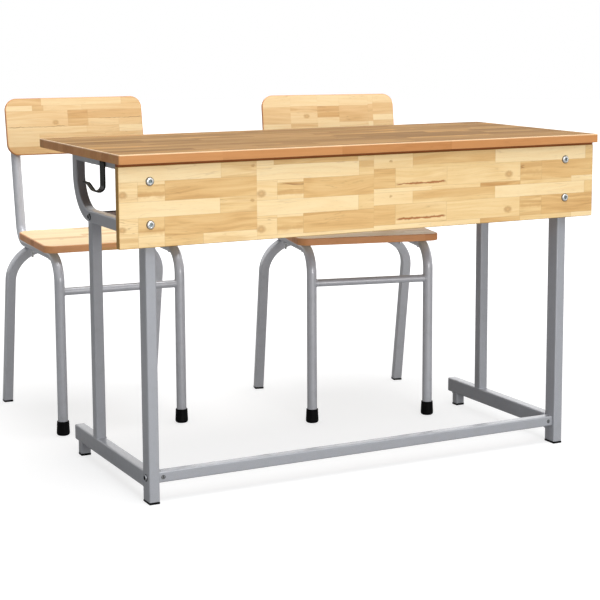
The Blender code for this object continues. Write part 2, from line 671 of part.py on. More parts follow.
# Chair; its own x runs across it and its own y runs back from the seat's front edge
def post_setback(height):
    """How far back the post's axis lies at a height above the seat rail."""
    return POST_FOOT_SETBACK + (height - SIDE_RAIL_HEIGHT) * math.tan(POST_LEAN)


def ferrule_profile():
    bore_radius = CHAIR_TUBE_RADIUS + GAP
    rounding = [(FERRULE_RADIUS - FERRULE_EDGE_ROUND * (1 - math.cos(step * QUARTER_TURN / 3)),
                 FERRULE_EDGE_ROUND * (1 - math.sin(step * QUARTER_TURN / 3))) for step in range(4)]
    return [(0.0, FERRULE_FLOOR), (bore_radius, FERRULE_FLOOR), (bore_radius, FERRULE_HEIGHT),
            (FERRULE_TOP_RADIUS, FERRULE_HEIGHT)] + rounding + [(0.0, 0.0)]


def chair_side(side, label, prefix, seat, chair):
    """One bent side tube with its ferrule and its seat stud."""
    x_front = side * FRONT_LEG_HALF_SPAN
    x_post = side * POST_HALF_SPAN
    foot = (x_front, FRONT_LEG_SETBACK, FERRULE_FLOOR + GAP)
    knee = (x_front, FRONT_LEG_SETBACK, SIDE_RAIL_HEIGHT)
    hip = (x_post, POST_FOOT_SETBACK, SIDE_RAIL_HEIGHT)
    head = (x_post, post_setback(POST_TOP), POST_TOP)
    path = filleted_path([foot, knee, hip, head], [KNEE_BEND_RADIUS, HIP_BEND_RADIUS])
    tube = add_tube(f"{prefix}_{label}_side_tube", path, radius=CHAIR_TUBE_RADIUS, parent=chair)

    name = f"{prefix}_{label}_ferrule"
    upward = (0.0, 0.0, 1.0)
    ferrule = turned_mesh(name, ferrule_profile(), (x_front, FRONT_LEG_SETBACK, 0.0), upward, ROUND_SIDES)
    add_part(name, ferrule, "black_rubber", chair)

    x_stud = side * rail_offset(STUD_SETBACK)
    rail_bottom = SIDE_RAIL_HEIGHT - CHAIR_TUBE_RADIUS
    stud_foot = rail_bottom - GAP - NUT_HEIGHT - STUD_TAIL
    stud_top = SEAT_UNDERSIDE + STUD_DEPTH_IN_SEAT
    name = f"{prefix}_{label}_seat_stud"
    stud = add_part(name, rod_mesh(name, (x_stud, STUD_SETBACK, stud_foot), upward,
                                   stud_top - stud_foot, BOLT_SHANK_RADIUS), "zinc", chair)
    nut = rod_mesh(name + "_nut", (x_stud, STUD_SETBACK, rail_bottom - GAP - NUT_HEIGHT), upward,
                   NUT_HEIGHT, NUT_RADIUS, HEX_SIDES)
    combine(stud, add_cutter(name + "_nut", nut, chair), "UNION")
    bore(tube, (x_stud, STUD_SETBACK, rail_bottom), upward, 2 * CHAIR_TUBE_RADIUS, BOLT_SHANK_RADIUS, chair)
    blind = (x_stud, STUD_SETBACK, SEAT_UNDERSIDE)
    bore(seat, blind, upward, STUD_DEPTH_IN_SEAT + GAP - CUT_OVERRUN, BOLT_SHANK_RADIUS, chair)
    return tube


def backrest_screw(label, x_screw, prefix, tube, backrest, chair):
    """A pan head screw from behind the post into the backrest."""
    name = f"{prefix}_{label}_backrest_screw"
    height = BACKREST_BOTTOM + BACKREST_HEIGHT * SCREW_RISE_SHARE
    axis_point = Vector((x_screw, post_setback(height), height))
    forward = Vector((0.0, -math.cos(POST_LEAN), math.sin(POST_LEAN)))
    seat = axis_point - forward * (CHAIR_TUBE_RADIUS + GAP)
    length = 2 * CHAIR_TUBE_RADIUS + 2 * GAP + SCREW_DEPTH_IN_BOARD
    profile = domed_head(SCREW_HEAD_RADIUS, SCREW_HEAD_HEIGHT, SCREW_RADIUS, length)
    add_part(name, turned_mesh(name, profile, seat, -forward), "zinc", chair)
    bore(tube, seat, forward, 2 * (CHAIR_TUBE_RADIUS + GAP), SCREW_RADIUS, chair)
    blind = axis_point + forward * (CHAIR_TUBE_RADIUS + GAP)
    bore(backrest, blind, forward, SCREW_DEPTH_IN_BOARD + GAP - CUT_OVERRUN, SCREW_RADIUS, chair)


def rail_offset(setback):
    """Half the span between the two seat rails at a distance behind the seat's front edge."""
    share = (setback - FRONT_LEG_SETBACK) / RAIL_LENGTH
    return FRONT_LEG_HALF_SPAN + (POST_HALF_SPAN - FRONT_LEG_HALF_SPAN) * share


def rear_frame(prefix, chair):
    """The inverted U of square tube; its legs lean back and are cut level above their caps."""
    top_height = SIDE_RAIL_HEIGHT - REAR_TOP_DROP
    foot_setback = REAR_TOP_SETBACK + top_height * math.tan(REAR_LEAN)
    lean = Vector((0.0, -math.sin(REAR_LEAN), math.cos(REAR_LEAN)))
    corners = []
    for side in (-1, 1):
        foot = Vector((side * REAR_HALF_SPAN, foot_setback, 0.0)) - lean * (REAR_TUBE_SIZE / 2)
        shoulder = Vector((side * REAR_HALF_SPAN, REAR_TOP_SETBACK, top_height))
        corners += [foot, shoulder] if side < 0 else [shoulder, foot]
    path = filleted_path(corners, [REAR_BEND_RADIUS] * 2)
    frame = add_tube(prefix + "_rear_frame", path, section=(REAR_TUBE_SIZE, REAR_TUBE_SIZE), parent=chair)
    reach = REAR_HALF_SPAN + REAR_TUBE_SIZE
    cut_box(frame,
            (-reach, foot_setback - 2 * REAR_TUBE_SIZE, -2 * REAR_TUBE_SIZE),
            (reach, foot_setback + 2 * REAR_TUBE_SIZE, CAP_HEIGHT + GAP), chair)
    y_cap = foot_setback - math.tan(REAR_LEAN) * (CAP_HEIGHT + GAP)
    for side, label in ((-1, "left"), (1, "right")):
        floor_cap(f"{prefix}_{label}_rear_cap", REAR_TUBE_SIZE, REAR_TUBE_SIZE / lean.z,
                  (side * REAR_HALF_SPAN, y_cap, 0.0), lean, chair)


def stretcher(prefix, chair):
    """A round rail coped to the two front legs."""
    start = (-FRONT_LEG_HALF_SPAN, FRONT_LEG_SETBACK, STRETCHER_HEIGHT)
    end = (FRONT_LEG_HALF_SPAN, FRONT_LEG_SETBACK, STRETCHER_HEIGHT)
    rail = add_tube(prefix + "_stretcher", [start, end], radius=STRETCHER_RADIUS, parent=chair)
    for x_leg, _, _ in (start, end):
        foot = (x_leg, FRONT_LEG_SETBACK, STRETCHER_HEIGHT - 2 * STRETCHER_RADIUS)
        cope = rod_mesh(rail.name + "_cope", foot, (0.0, 0.0, 1.0), 4 * STRETCHER_RADIUS,
                        circumscribed(CHAIR_TUBE_RADIUS + GAP), ROUND_SIDES)
        combine(rail, add_cutter(rail.name + "_cope", cope, chair), "DIFFERENCE")


def chair_boards(prefix, chair):
    seat = add_part(prefix + "_seat", board_mesh(
        prefix + "_seat", SEAT_WIDTH, SEAT_DEPTH, SEAT_THICKNESS,
        (SEAT_REAR_CORNER, SEAT_REAR_CORNER, SEAT_FRONT_CORNER, SEAT_FRONT_CORNER)), "rubberwood", chair)
    seat.location = (0.0, SEAT_DEPTH / 2, SEAT_HEIGHT - SEAT_THICKNESS / 2)

    backrest = add_part(prefix + "_backrest", board_mesh(
        prefix + "_backrest", BACKREST_WIDTH, BACKREST_HEIGHT, BACKREST_THICKNESS,
        (BACKREST_CORNER,) * 4), "rubberwood", chair)
    height = BACKREST_BOTTOM + BACKREST_HEIGHT * math.cos(POST_LEAN) / 2
    forward = Vector((0.0, -math.cos(POST_LEAN), math.sin(POST_LEAN)))
    offset = CHAIR_TUBE_RADIUS + GAP + BACKREST_THICKNESS / 2
    backrest.location = Vector((0.0, post_setback(height), height)) + forward * offset
    backrest.rotation_euler = (QUARTER_TURN - POST_LEAN, 0.0, 0.0)
    return seat, backrest


def build_chair(prefix, place, desk):
    chair = bpy.data.objects.new(prefix + "_axis", None)
    PARTS.objects.link(chair)
    chair.parent = desk
    x_chair, setback, turn = place
    chair.location = (x_chair, setback, 0.0)
    chair.rotation_euler = (0.0, 0.0, turn)
    seat, backrest = chair_boards(prefix, chair)
    for side, label in ((-1, "left"), (1, "right")):
        tube = chair_side(side, label, prefix, seat, chair)
        backrest_screw(label, side * POST_HALF_SPAN, prefix, tube, backrest, chair)
    rear_frame(prefix, chair)
    stretcher(prefix, chair)


def depth_range():
    """Front and back of the whole set, from the finished meshes."""
    bpy.context.view_layer.update()
    graph = bpy.context.evaluated_depsgraph_get()
    lows = []
    highs = []
    for part in PARTS.objects:
        if part.type != "MESH":
            continue
        solid = part.evaluated_get(graph)
        mesh = solid.to_mesh()
        points = np.empty(len(mesh.vertices) * 3)
        mesh.vertices.foreach_get("co", points)
        world = np.array(part.matrix_world)
        along_y = points.reshape(-1, 3) @ world[1, :3] + world[1, 3]
        lows.append(along_y.min())
        highs.append(along_y.max())
        solid.to_mesh_clear()
    return min(lows), max(highs)


def main():
    desk = bpy.data.objects.new("desk_axis", None)
    PARTS.objects.link(desk)
    build_desk(desk)
    for prefix, place in CHAIRS.items():
        build_chair(prefix, place, desk)
    front, back = depth_range()
    desk.location.y = -(front + back) / 2


main()
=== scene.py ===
import math
import random

import bmesh
import bpy
from mathutils import Matrix, Vector


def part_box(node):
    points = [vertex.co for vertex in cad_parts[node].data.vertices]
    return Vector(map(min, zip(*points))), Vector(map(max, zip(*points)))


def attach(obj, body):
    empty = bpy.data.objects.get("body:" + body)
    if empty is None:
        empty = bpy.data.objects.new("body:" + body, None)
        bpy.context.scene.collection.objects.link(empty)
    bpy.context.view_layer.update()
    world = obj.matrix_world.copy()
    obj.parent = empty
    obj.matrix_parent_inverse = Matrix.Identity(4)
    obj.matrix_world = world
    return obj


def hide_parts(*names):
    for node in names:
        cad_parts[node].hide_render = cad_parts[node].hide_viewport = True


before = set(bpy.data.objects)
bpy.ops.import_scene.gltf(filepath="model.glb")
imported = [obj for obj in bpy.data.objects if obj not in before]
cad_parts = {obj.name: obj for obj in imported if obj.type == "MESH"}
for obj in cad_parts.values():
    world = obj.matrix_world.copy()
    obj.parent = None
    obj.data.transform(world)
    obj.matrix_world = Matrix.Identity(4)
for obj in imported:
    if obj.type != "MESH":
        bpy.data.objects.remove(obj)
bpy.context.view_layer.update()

chance = random.Random(7)
axes = Vector((1, 0, 0)), Vector((0, 1, 0)), Vector((0, 0, 1))
xAxis, yAxis, zAxis = axes
bothSides = (("left", -1), ("right", 1))
touchGap = 0.0003     # between touching pieces, as in the CAD


def addNode(tree, kind, inputs=None, **settings):
    node = tree.nodes.new(kind)
    for name, value in settings.items():
        setattr(node, name, value)
    for name, value in (inputs or {}).items():
        if isinstance(value, bpy.types.NodeSocket):
            tree.links.new(value, node.inputs[name])
        else:
            node.inputs[name].default_value = value
    return node


def startMaterial(name, **sockets):
    material = bpy.data.materials.new(name)
    material.use_nodes = True
    tree = material.node_tree
    shader = tree.nodes["Principled BSDF"]
    for socket, value in sockets.items():
        shader.inputs[socket.replace("_", " ")].default_value = value
    return material, tree, shader


def feed(tree, target, **sockets):
    for name, value in sockets.items():
        tree.links.new(value, target[name.replace("_", " ")])


def startGroup(name, inputs, outputs):
    group = bpy.data.node_groups.new(name, "ShaderNodeTree")
    for label, default in inputs.items():
        kind = "NodeSocketFloat" if isinstance(default, float) else "NodeSocketVector"
        group.interface.new_socket(name=label, in_out="INPUT", socket_type=kind).default_value = default
    for label in outputs:
        group.interface.new_socket(name=label, in_out="OUTPUT", socket_type="NodeSocketFloat")
    return group, group.nodes.new("NodeGroupInput").outputs, group.nodes.new("NodeGroupOutput").inputs


def useGroup(tree, group, **inputs):
    return addNode(tree, "ShaderNodeGroup", inputs, node_tree=group).outputs


def noise(tree, place, scale, detail=3.0, rough=0.5, distortion=0.0):
    inputs = {"Vector": place, "Scale": scale, "Detail": detail, "Roughness": rough, "Distortion": distortion}
    return addNode(tree, "ShaderNodeTexNoise", inputs).outputs["Fac"]


def stretch(tree, place, scale):
    return addNode(tree, "ShaderNodeMapping", {"Vector": place, "Scale": scale}).outputs["Vector"]


# noise drawn out along x, the way the fibres run
def fibreNoise(tree, place, along, across, detail, rough=0.5, distortion=0.0):
    return noise(tree, stretch(tree, place, (along, across, across)), 1.0, detail, rough, distortion)


def remap(tree, value, low, high, toLow=0.0, toHigh=1.0):
    inputs = {"Value": value, "From Min": low, "From Max": high, "To Min": toLow, "To Max": toHigh}
    return addNode(tree, "ShaderNodeMapRange", inputs).outputs["Result"]


def calc(tree, operation, first, second=0.0):
    return addNode(tree, "ShaderNodeMath", {0: first, 1: second}, operation=operation).outputs["Value"]


def times(tree, first, second):
    return calc(tree, "MULTIPLY", first, second)


def centred(tree, value, amount):
    return times(tree, calc(tree, "SUBTRACT", value, 0.5), amount)


# 1 where the distance is nothing, falling to 0 where it comes to reach
def fallOff(tree, distance, reach):
    return calc(tree, "SUBTRACT", 1.0, calc(tree, "MINIMUM", calc(tree, "DIVIDE", distance, reach), 1.0))


# a line where value passes level, as wide as reach says: 1 on the line, 0 beside it
def lineAt(tree, value, level, reach):
    return fallOff(tree, calc(tree, "ABSOLUTE", calc(tree, "SUBTRACT", value, level)), reach)


def vectorSum(tree, first, second, operation="ADD"):
    return addNode(tree, "ShaderNodeVectorMath", {0: first, 1: second}, operation=operation).outputs[0]


def vectorLength(tree, vector):
    return addNode(tree, "ShaderNodeVectorMath", {0: vector}, operation="LENGTH").outputs["Value"]


def combined(tree, **parts):
    return addNode(tree, "ShaderNodeCombineXYZ", parts).outputs[0]


def separated(tree, vector):
    return addNode(tree, "ShaderNodeSeparateXYZ", {"Vector": vector}).outputs


def ownPlace(tree):
    return addNode(tree, "ShaderNodeTexCoord").outputs["Object"]


def attribute(tree, name):
    return addNode(tree, "ShaderNodeAttribute", attribute_type="GEOMETRY", attribute_name=name).outputs


def attributeParts(tree, name):
    given = attribute(tree, name)
    return addNode(tree, "ShaderNodeSeparateColor", {"Color": given["Color"]}).outputs, given["Alpha"]


def blendColour(tree, factor, first, second, mode="MIX"):
    node = addNode(tree, "ShaderNodeMix", data_type="RGBA", blend_type=mode)
    for socket, value in ((node.inputs[0], factor), (node.inputs[6], first), (node.inputs[7], second)):
        if isinstance(value, bpy.types.NodeSocket):
            tree.links.new(value, socket)
        elif isinstance(value, (int, float)):
            socket.default_value = value
        else:
            socket.default_value = (*value, 1)
    return node.outputs[2]


def tinted(tree, colour, mask, amount, tint):
    return blendColour(tree, times(tree, mask, amount), colour, tint)


def bump(tree, height, distance, strength=1.0):
    inputs = {"Height": height, "Distance": distance, "Strength": strength}
    return addNode(tree, "ShaderNodeBump", inputs).outputs["Normal"]


def srgb(red, green, blue):     # a colour as the eye picks it, 0 to 255
    return tuple(((c / 255 + 0.055) / 1.055) ** 2.4 if c > 10 else c / 3295 for c in (red, green, blue))


# grain of one block of wood: Place is the board's own coordinates, x along the fibres
def makeGrain():
    tree, given, out = startGroup("woodGrain", {"Place": (0, 0, 0), "Shift": 0.0},
                                  ["Figure", "Cloud", "Streak", "Fibre", "Pores", "Gum"])
    jump = times(tree, given["Shift"], 9.0)
    away = vectorSum(tree, given["Place"], combined(tree, X=jump, Y=times(tree, jump, 1.7), Z=jump))
    sway = centred(tree, fibreNoise(tree, away, 5, 13, 1.0), 0.034)
    away = vectorSum(tree, away, combined(tree, Y=sway))
    rings = calc(tree, "SINE", times(tree, fibreNoise(tree, away, 2.6, 22, 2.0, 0.45, 0.5), 40.0))
    vein = fibreNoise(tree, away, 4, 55, 3.0, 0.6, 0.3)
    veined = remap(tree, fibreNoise(tree, away, 7, 20, 1.0), 0.5, 0.6)
    feed(tree, out,
         Figure=remap(tree, rings, -1, 1),
         Cloud=fibreNoise(tree, away, 4.5, 30, 2.0),
         Streak=fibreNoise(tree, away, 5, 150, 3.0, 0.55),
         Fibre=fibreNoise(tree, away, 9, 480, 4.0, 0.6),
         Pores=remap(tree, fibreNoise(tree, away, 60, 1500, 2.0), 0.62, 0.72),
         Gum=times(tree, lineAt(tree, vein, 0.5, 0.016), veined))
    return tree


# a round knot of the given size at a place on the board: its disc, and the dark ring inside it
def makeKnot():
    tree, given, out = startGroup("knotMark", {"Place": (0, 0, 0), "Centre": (0, 0, 0), "Size": 0.006},
                                  ["Disc", "Ring"])
    flat = stretch(tree, vectorSum(tree, given["Place"], given["Centre"], "SUBTRACT"), (0.72, 1, 0))
    ragged = times(tree, noise(tree, given["Place"], 300.0, 3.0), 0.0045)
    near = fallOff(tree, calc(tree, "ADD", vectorLength(tree, flat), ragged), given["Size"])
    feed(tree, out, Disc=remap(tree, near, 0.0, 0.55), Ring=lineAt(tree, near, 0.42, 0.3))
    return tree


# a dark crack along the fibres round a place, thick and thin by turns
def makeCrack():
    inputs = {"Place": (0, 0, 0), "Centre": (0, 0, 0), "Half": 0.06, "Spread": 1.0}
    tree, given, out = startGroup("crackLine", inputs, ["Mask"])
    parts = separated(tree, vectorSum(tree, given["Place"], given["Centre"], "SUBTRACT"))
    drift = centred(tree, noise(tree, combined(tree, X=parts["X"]), 26.0, 3.0, 0.6), 0.012)
    width = remap(tree, noise(tree, given["Place"], 60.0, 2.0), 0.3, 0.7, 0.0014, 0.0050)
    line = lineAt(tree, calc(tree, "SUBTRACT", parts["Y"], drift), 0.0, times(tree, width, given["Spread"]))
    along = calc(tree, "ABSOLUTE", parts["X"])
    ends = remap(tree, along, times(tree, given["Half"], 0.86), given["Half"], 1.0, 0.0)
    feed(tree, out, Mask=times(tree, times(tree, line, 1.6), ends))
    return tree


# dust and rubbed places that every finish carries a little of
def makeHandling():
    tree, given, out = startGroup("handling", {"Place": (0, 0, 0), "Amount": 0.5}, ["Dust", "Rubbed"])
    dust = noise(tree, given["Place"], 38.0, 5.0, 0.65)
    rubbed = noise(tree, stretch(tree, given["Place"], (1, 1, 0.4)), 160.0, 2.0, 0.4)
    feed(tree, out,
         Dust=times(tree, remap(tree, dust, 0.5, 0.78), given["Amount"]),
         Rubbed=times(tree, remap(tree, rubbed, 0.45, 0.7), given["Amount"]))
    return tree


grainGroup, knotGroup, crackGroup, handlingGroup = makeGrain(), makeKnot(), makeCrack(), makeHandling()

# tones run from light to dark, evenly unless stops says where
# knots are (x, y, size), cracks, seams and smears (x, y, half length)
paleTones = [(252, 226, 177), (248, 217, 163), (239, 204, 145), (229, 187, 126), (204, 156, 97)]
backTones = [(241, 215, 168), (236, 205, 155), (228, 191, 138), (216, 173, 117), (194, 145, 88)]
plainWood = {"rough": 0.45, "grain": 1.0, "gloss": 0.25, "joint": 0.0}
woods = {
    "panel": {"tones": paleTones, "joint": 0.2,
              "knots": [(-0.588, 0.0267, 0.012), (-0.275, 0.0137, 0.0125), (-0.590, -0.045, 0.011),
                        (-0.276, -0.0623, 0.0125), (0.358, 0.0257, 0.0125), (0.356, -0.0563, 0.0125),
                        (-0.294, 0.0747, 0.007), (-0.296, 0.001, 0.007), (0.043, 0.069, 0.0065),
                        (0.043, -0.009, 0.0065)],
              "cracks": [(0.123, 0.0172, 0.066), (0.122, -0.0612, 0.066)],
              "smears": [(-0.525, 0.0262, 0.032), (0.42, 0.0262, 0.032), (-0.2055, 0.0142, 0.0335),
                         (-0.526, -0.0498, 0.031), (0.42, -0.0498, 0.032), (-0.2065, -0.0628, 0.0335)]},
    "board": {"tones": paleTones, "grain": 0.65, "gloss": 0.3, "joint": 0.2,
              "knots": [(-0.118, -0.044, 0.0085), (0.09, 0.03, 0.007)]},
    "back": {"tones": backTones, "gloss": 0.3, "joint": 0.12, "knots": [(-0.054, 0.009, 0.0105)],
             "seams": [(-0.103, -0.002, 0.083), (0.125, 0.018, 0.062)]},
    "rightBack": {"tones": backTones, "gloss": 0.3, "joint": 0.12, "knots": [(-0.063, 0.016, 0.0105)]},
    "top": {"tones": [(176, 139, 92), (149, 114, 72), (127, 95, 59), (101, 73, 44)],
            "stops": [0.0, 0.4, 0.75, 1.0], "rough": 0.6, "gloss": 0.03, "joint": 0.2,
            "knots": [(0.31, 0.11, 0.012), (-0.18, -0.14, 0.011)]},
    "shelf": {"tones": [(150, 92, 76), (126, 74, 62), (98, 56, 48)], "rough": 0.5, "joint": 0.1},
    # the dark strip under the desk top: its brown tones are painted shade
    "gapShade": {"tones": [(172, 108, 66), (146, 86, 48), (112, 62, 32)],
             "rough": 0.6, "grain": 0.8, "gloss": 0.1},
    "edgeBand": {"tones": [(213, 153, 99), (200, 139, 86), (178, 115, 62)],
                 "rough": 0.5, "grain": 0.8, "gloss": 0.12},
    "panelEdge": {"tones": [(190, 148, 84), (174, 132, 70), (150, 108, 52)],
                  "rough": 0.5, "grain": 0.8, "gloss": 0.12},
    # the band's lighter rim along a board's top edge: a painted highlight
    "arris": {"tones": [(244, 206, 162), (236, 196, 152), (214, 168, 122)],
              "rough": 0.4, "grain": 0.7, "gloss": 0.3},
    "seatBand": {"tones": [(234, 172, 122), (220, 154, 102), (192, 124, 76)], "grain": 0.7, "gloss": 0.2},
}
grainAmounts = {"Figure": 0.13, "Cloud": 0.3, "Streak": 0.42, "Fibre": 0.42}
tan, brown = srgb(206, 158, 98), srgb(158, 108, 62)
# each kind of dark streak: how broad, how strong, in what colour
streakKinds = {"cracks": (1.0, 0.85, srgb(172, 110, 62)), "seams": (0.3, 0.6, srgb(150, 100, 60)),
               "smears": (2.2, 0.42, tan)}


def toneRamp(tree, value, spec):
    ramp = addNode(tree, "ShaderNodeValToRGB", {"Fac": value})
    stops, tones = ramp.color_ramp.elements, spec["tones"]
    while len(stops) < len(tones):
        stops.new(0.5)
    for n, (stop, tone) in enumerate(zip(stops, tones)):
        stop.position = spec["stops"][n] if "stops" in spec else n / (len(tones) - 1)
        stop.color = (*srgb(*tone), 1)
    return ramp.outputs["Color"]


# wood drawn from the board's own marks: grainPlace, lamella (tone, shift, streak) and blockSide, the
# distances to the block's four joints
def woodMaterial(kind):
    spec = {**plainWood, **woods[kind]}
    material, tree, shader = startMaterial(kind + "Wood", Coat_Weight=0.08 * spec["gloss"],
                                           Coat_Roughness=0.3, Specular_IOR_Level=spec["gloss"])
    place = attribute(tree, "grainPlace")["Vector"]
    lamella = attributeParts(tree, "lamella")[0]
    depth, shift, streak = lamella["Red"], lamella["Green"], lamella["Blue"]
    grain = useGroup(tree, grainGroup, Place=place, Shift=shift)
    for layer, amount in grainAmounts.items():
        depth = calc(tree, "ADD", depth, centred(tree, grain[layer], amount * spec["grain"]))
    colour = toneRamp(tree, depth, spec)
    band = remap(tree, fibreNoise(tree, place, 6, 75, 2.0, 0.5, 0.4), 0.5, 0.6)
    colour = tinted(tree, colour, times(tree, band, streak), 0.7, tan)
    colour = tinted(tree, colour, grain["Gum"], remap(tree, streak, 0.0, 1.0, 0.22, 0.85), brown)
    for x, y, size in spec.get("knots", ()):
        knot = useGroup(tree, knotGroup, Place=place, Centre=(x, y, 0), Size=size)
        colour = tinted(tree, colour, knot["Disc"], 0.62, tan)
        colour = tinted(tree, colour, knot["Ring"], 0.28, brown)
    for streaks, (spread, amount, tint) in streakKinds.items():
        for x, y, half in spec.get(streaks, ()):
            line = useGroup(tree, crackGroup, Place=place, Centre=(x, y, 0), Half=half, Spread=spread)
            colour = tinted(tree, colour, line["Mask"], amount, tint)
    colour = tinted(tree, colour, grain["Pores"], 0.2 * spec["grain"], brown)
    parts, fourth = attributeParts(tree, "blockSide")
    nearest = calc(tree, "MINIMUM", calc(tree, "MINIMUM", parts["Red"], parts["Green"]),
                   calc(tree, "MINIMUM", parts["Blue"], fourth))
    joint = remap(tree, nearest, 0.0002, 0.0009, 1.0, 0.0)
    colour = tinted(tree, colour, joint, spec["joint"], brown)
    worn = useGroup(tree, handlingGroup, Place=ownPlace(tree), Amount=0.5)
    rough = remap(tree, grain["Fibre"], 0.3, 0.7, spec["rough"] - 0.05, spec["rough"] + 0.06)
    sunk = calc(tree, "ADD", grain["Pores"], joint)
    height = calc(tree, "SUBTRACT", times(tree, grain["Fibre"], 0.5), sunk)
    feed(tree, shader.inputs, Base_Color=colour, Normal=bump(tree, height, 0.00012, 0.5),
         Roughness=calc(tree, "ADD", rough, times(tree, worn["Rubbed"], 0.12)))
    return material


def powderMaterial(name, dark, light):
    material, tree, shader = startMaterial(name, Metallic=0.12, Specular_IOR_Level=0.5, Coat_Weight=0.5,
                                           Coat_Roughness=0.16)
    place = ownPlace(tree)
    worn = useGroup(tree, handlingGroup, Place=place, Amount=0.6)
    flake = noise(tree, place, 2600.0, 1.0)
    colour = blendColour(tree, remap(tree, flake, 0.35, 0.7), srgb(*dark), srgb(*light))
    peel = calc(tree, "ADD", noise(tree, place, 420.0, 2.0), times(tree, flake, 0.25))
    feed(tree, shader.inputs, Base_Color=tinted(tree, colour, worn["Dust"], 0.35, srgb(142, 142, 140)),
         Roughness=calc(tree, "ADD", 0.36, times(tree, worn["Rubbed"], 0.14)),
         Normal=bump(tree, peel, 0.00009, 0.6))
    return material


def zincMaterial(name, bright, dull):
    material, tree, shader = startMaterial(name, Metallic=0.85, Anisotropic=0.2)
    place = ownPlace(tree)
    worn = useGroup(tree, handlingGroup, Place=place, Amount=0.8)
    spangle = addNode(tree, "ShaderNodeTexVoronoi", {"Vector": place, "Scale": 900.0}).outputs["Color"]
    colour = blendColour(tree, 0.14, bright, spangle, "SOFT_LIGHT")
    feed(tree, shader.inputs, Base_Color=tinted(tree, colour, worn["Dust"], 0.5, dull),
         Roughness=calc(tree, "ADD", 0.24, times(tree, worn["Rubbed"], 0.2)),
         Normal=bump(tree, noise(tree, place, 1500.0), 0.00003, 0.5))
    return material


# moulded or painted black, or black as painted shade: ribs are fine ridges at that many per metre of y
def blackMaterial(name, colour, roughness, texture, depth, gloss, ribs=0.0):
    material, tree, shader = startMaterial(name, Specular_IOR_Level=gloss)
    place = ownPlace(tree)
    worn = useGroup(tree, handlingGroup, Place=place, Amount=0.6)
    height = noise(tree, place, texture, 3.0)
    if ribs:
        ridges = calc(tree, "SINE", times(tree, separated(tree, place)["Y"], math.tau * ribs))
        height = calc(tree, "ADD", height, times(tree, ridges, 1.5))
    feed(tree, shader.inputs, Base_Color=tinted(tree, colour, worn["Dust"], 0.12, (0.1, 0.097, 0.09)),
         Roughness=calc(tree, "ADD", roughness, times(tree, worn["Rubbed"], -0.12)),
         Normal=bump(tree, height, depth, 0.6))
    return material


wood = {kind: woodMaterial(kind) for kind in woods}
powder = powderMaterial("silverPowderCoat", (160, 162, 168), (177, 179, 185))
# the chairs' coat is the same silver made lighter: painted light, to make up for the shade they get behind
# the desk
brightenedChairPowder = powderMaterial("brightenedSilverPowderCoat", (189, 191, 198), (206, 208, 214))
zinc = zincMaterial("zincPlate", (0.64, 0.65, 0.65), (0.3, 0.29, 0.26))
# darker zinc inside the panel bolts' sockets: painted shade in the recess
zincPit = zincMaterial("zincSocketPaintedShade", (0.26, 0.31, 0.32), (0.14, 0.14, 0.13))
rubber = blackMaterial("blackRubber", (0.004, 0.004, 0.0045), 0.55, 1100.0, 0.00008, 0.07)
capPlastic = blackMaterial("blackCapPlastic", (0.004, 0.004, 0.005), 0.45, 1700.0, 0.00005, 0.06)
hookPaint = blackMaterial("hookPaint", (0.011, 0.013, 0.008), 0.34, 520.0, 0.00008, 0.07, 200.0)
# a darker copy of the zinc for the side bolts and barrel nuts: painted shade
zincShade = zincMaterial("zincPaintedShade", (0.3, 0.31, 0.32), (0.16, 0.16, 0.15))
# near-black for socket pits, slots, holes and the rings round heads: painted shade
pitShade = blackMaterial("pitPaintedShade", (0.008, 0.008, 0.01), 0.6, 900.0, 0.00004, 0.08)
shadedFastener = [zincShade, pitShade, pitShade]
print("materials ready")


def meshFrom(shape, name):
    mesh = bpy.data.meshes.new(name)
    shape.to_mesh(mesh)
    shape.free()
    return mesh


def addObject(name, data):
    made = bpy.data.objects.new(name, data)
    bpy.context.scene.collection.objects.link(made)
    return made


def joinShapes(*shapes):
    whole = bmesh.new()
    for shape in shapes:
        holder = meshFrom(shape, "holder")
        whole.from_mesh(holder)
        bpy.data.meshes.remove(holder)
    return whole


finishing = {"weld": 0.00002, "sharp": math.radians(34)}


def makePiece(name, shape, body, materials, replaced=(), place=None):
    bmesh.ops.remove_doubles(shape, verts=shape.verts, dist=finishing["weld"])
    bmesh.ops.recalc_face_normals(shape, faces=shape.faces)
    if place is not None:
        bmesh.ops.transform(shape, matrix=place, verts=shape.verts)
    mesh = meshFrom(shape, name)
    for material in materials:
        mesh.materials.append(material)
    mesh.shade_smooth()
    mesh.set_sharp_from_angle(angle=finishing["sharp"])
    piece = addObject(name, mesh)
    even = piece.modifiers.new("evenShading", "WEIGHTED_NORMAL")
    even.keep_sharp = True
    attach(piece, body)
    if replaced:
        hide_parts(*replaced)


def deskPiece(name, shape, slot, materials, *replaced, place=None):
    makePiece(name, shape, "desk", materials, replaced, place)


def onlyEdges(items):
    return [item for item in items if isinstance(item, bmesh.types.BMEdge)]


def onlyVerts(items):
    return [item for item in items if isinstance(item, bmesh.types.BMVert)]


def paintFaces(faces, index):
    for face in faces:
        face.material_index = index


def setAt(shape, at, along):
    facing = Vector(along).to_track_quat("Z", "Y").to_matrix().to_4x4()
    bmesh.ops.transform(shape, matrix=Matrix.Translation(at) @ facing, verts=shape.verts)
    return shape


def roundOff(shape, edges, offset, segments=2, affect="EDGES"):
    bmesh.ops.bevel(shape, geom=edges, offset=offset, segments=segments, profile=0.5, affect=affect,
                    material=-1)


def sliceAt(shape, at, facing, **settings):
    whole = shape.verts[:] + shape.edges[:] + shape.faces[:]
    return bmesh.ops.bisect_plane(shape, geom=whole, plane_co=at, plane_no=facing, **settings)


def flatSheet(width, depth):
    shape = bmesh.new()
    bmesh.ops.create_grid(shape, x_segments=1, y_segments=1, size=0.5)
    bmesh.ops.scale(shape, vec=(width, depth, 1), verts=shape.verts)
    return shape


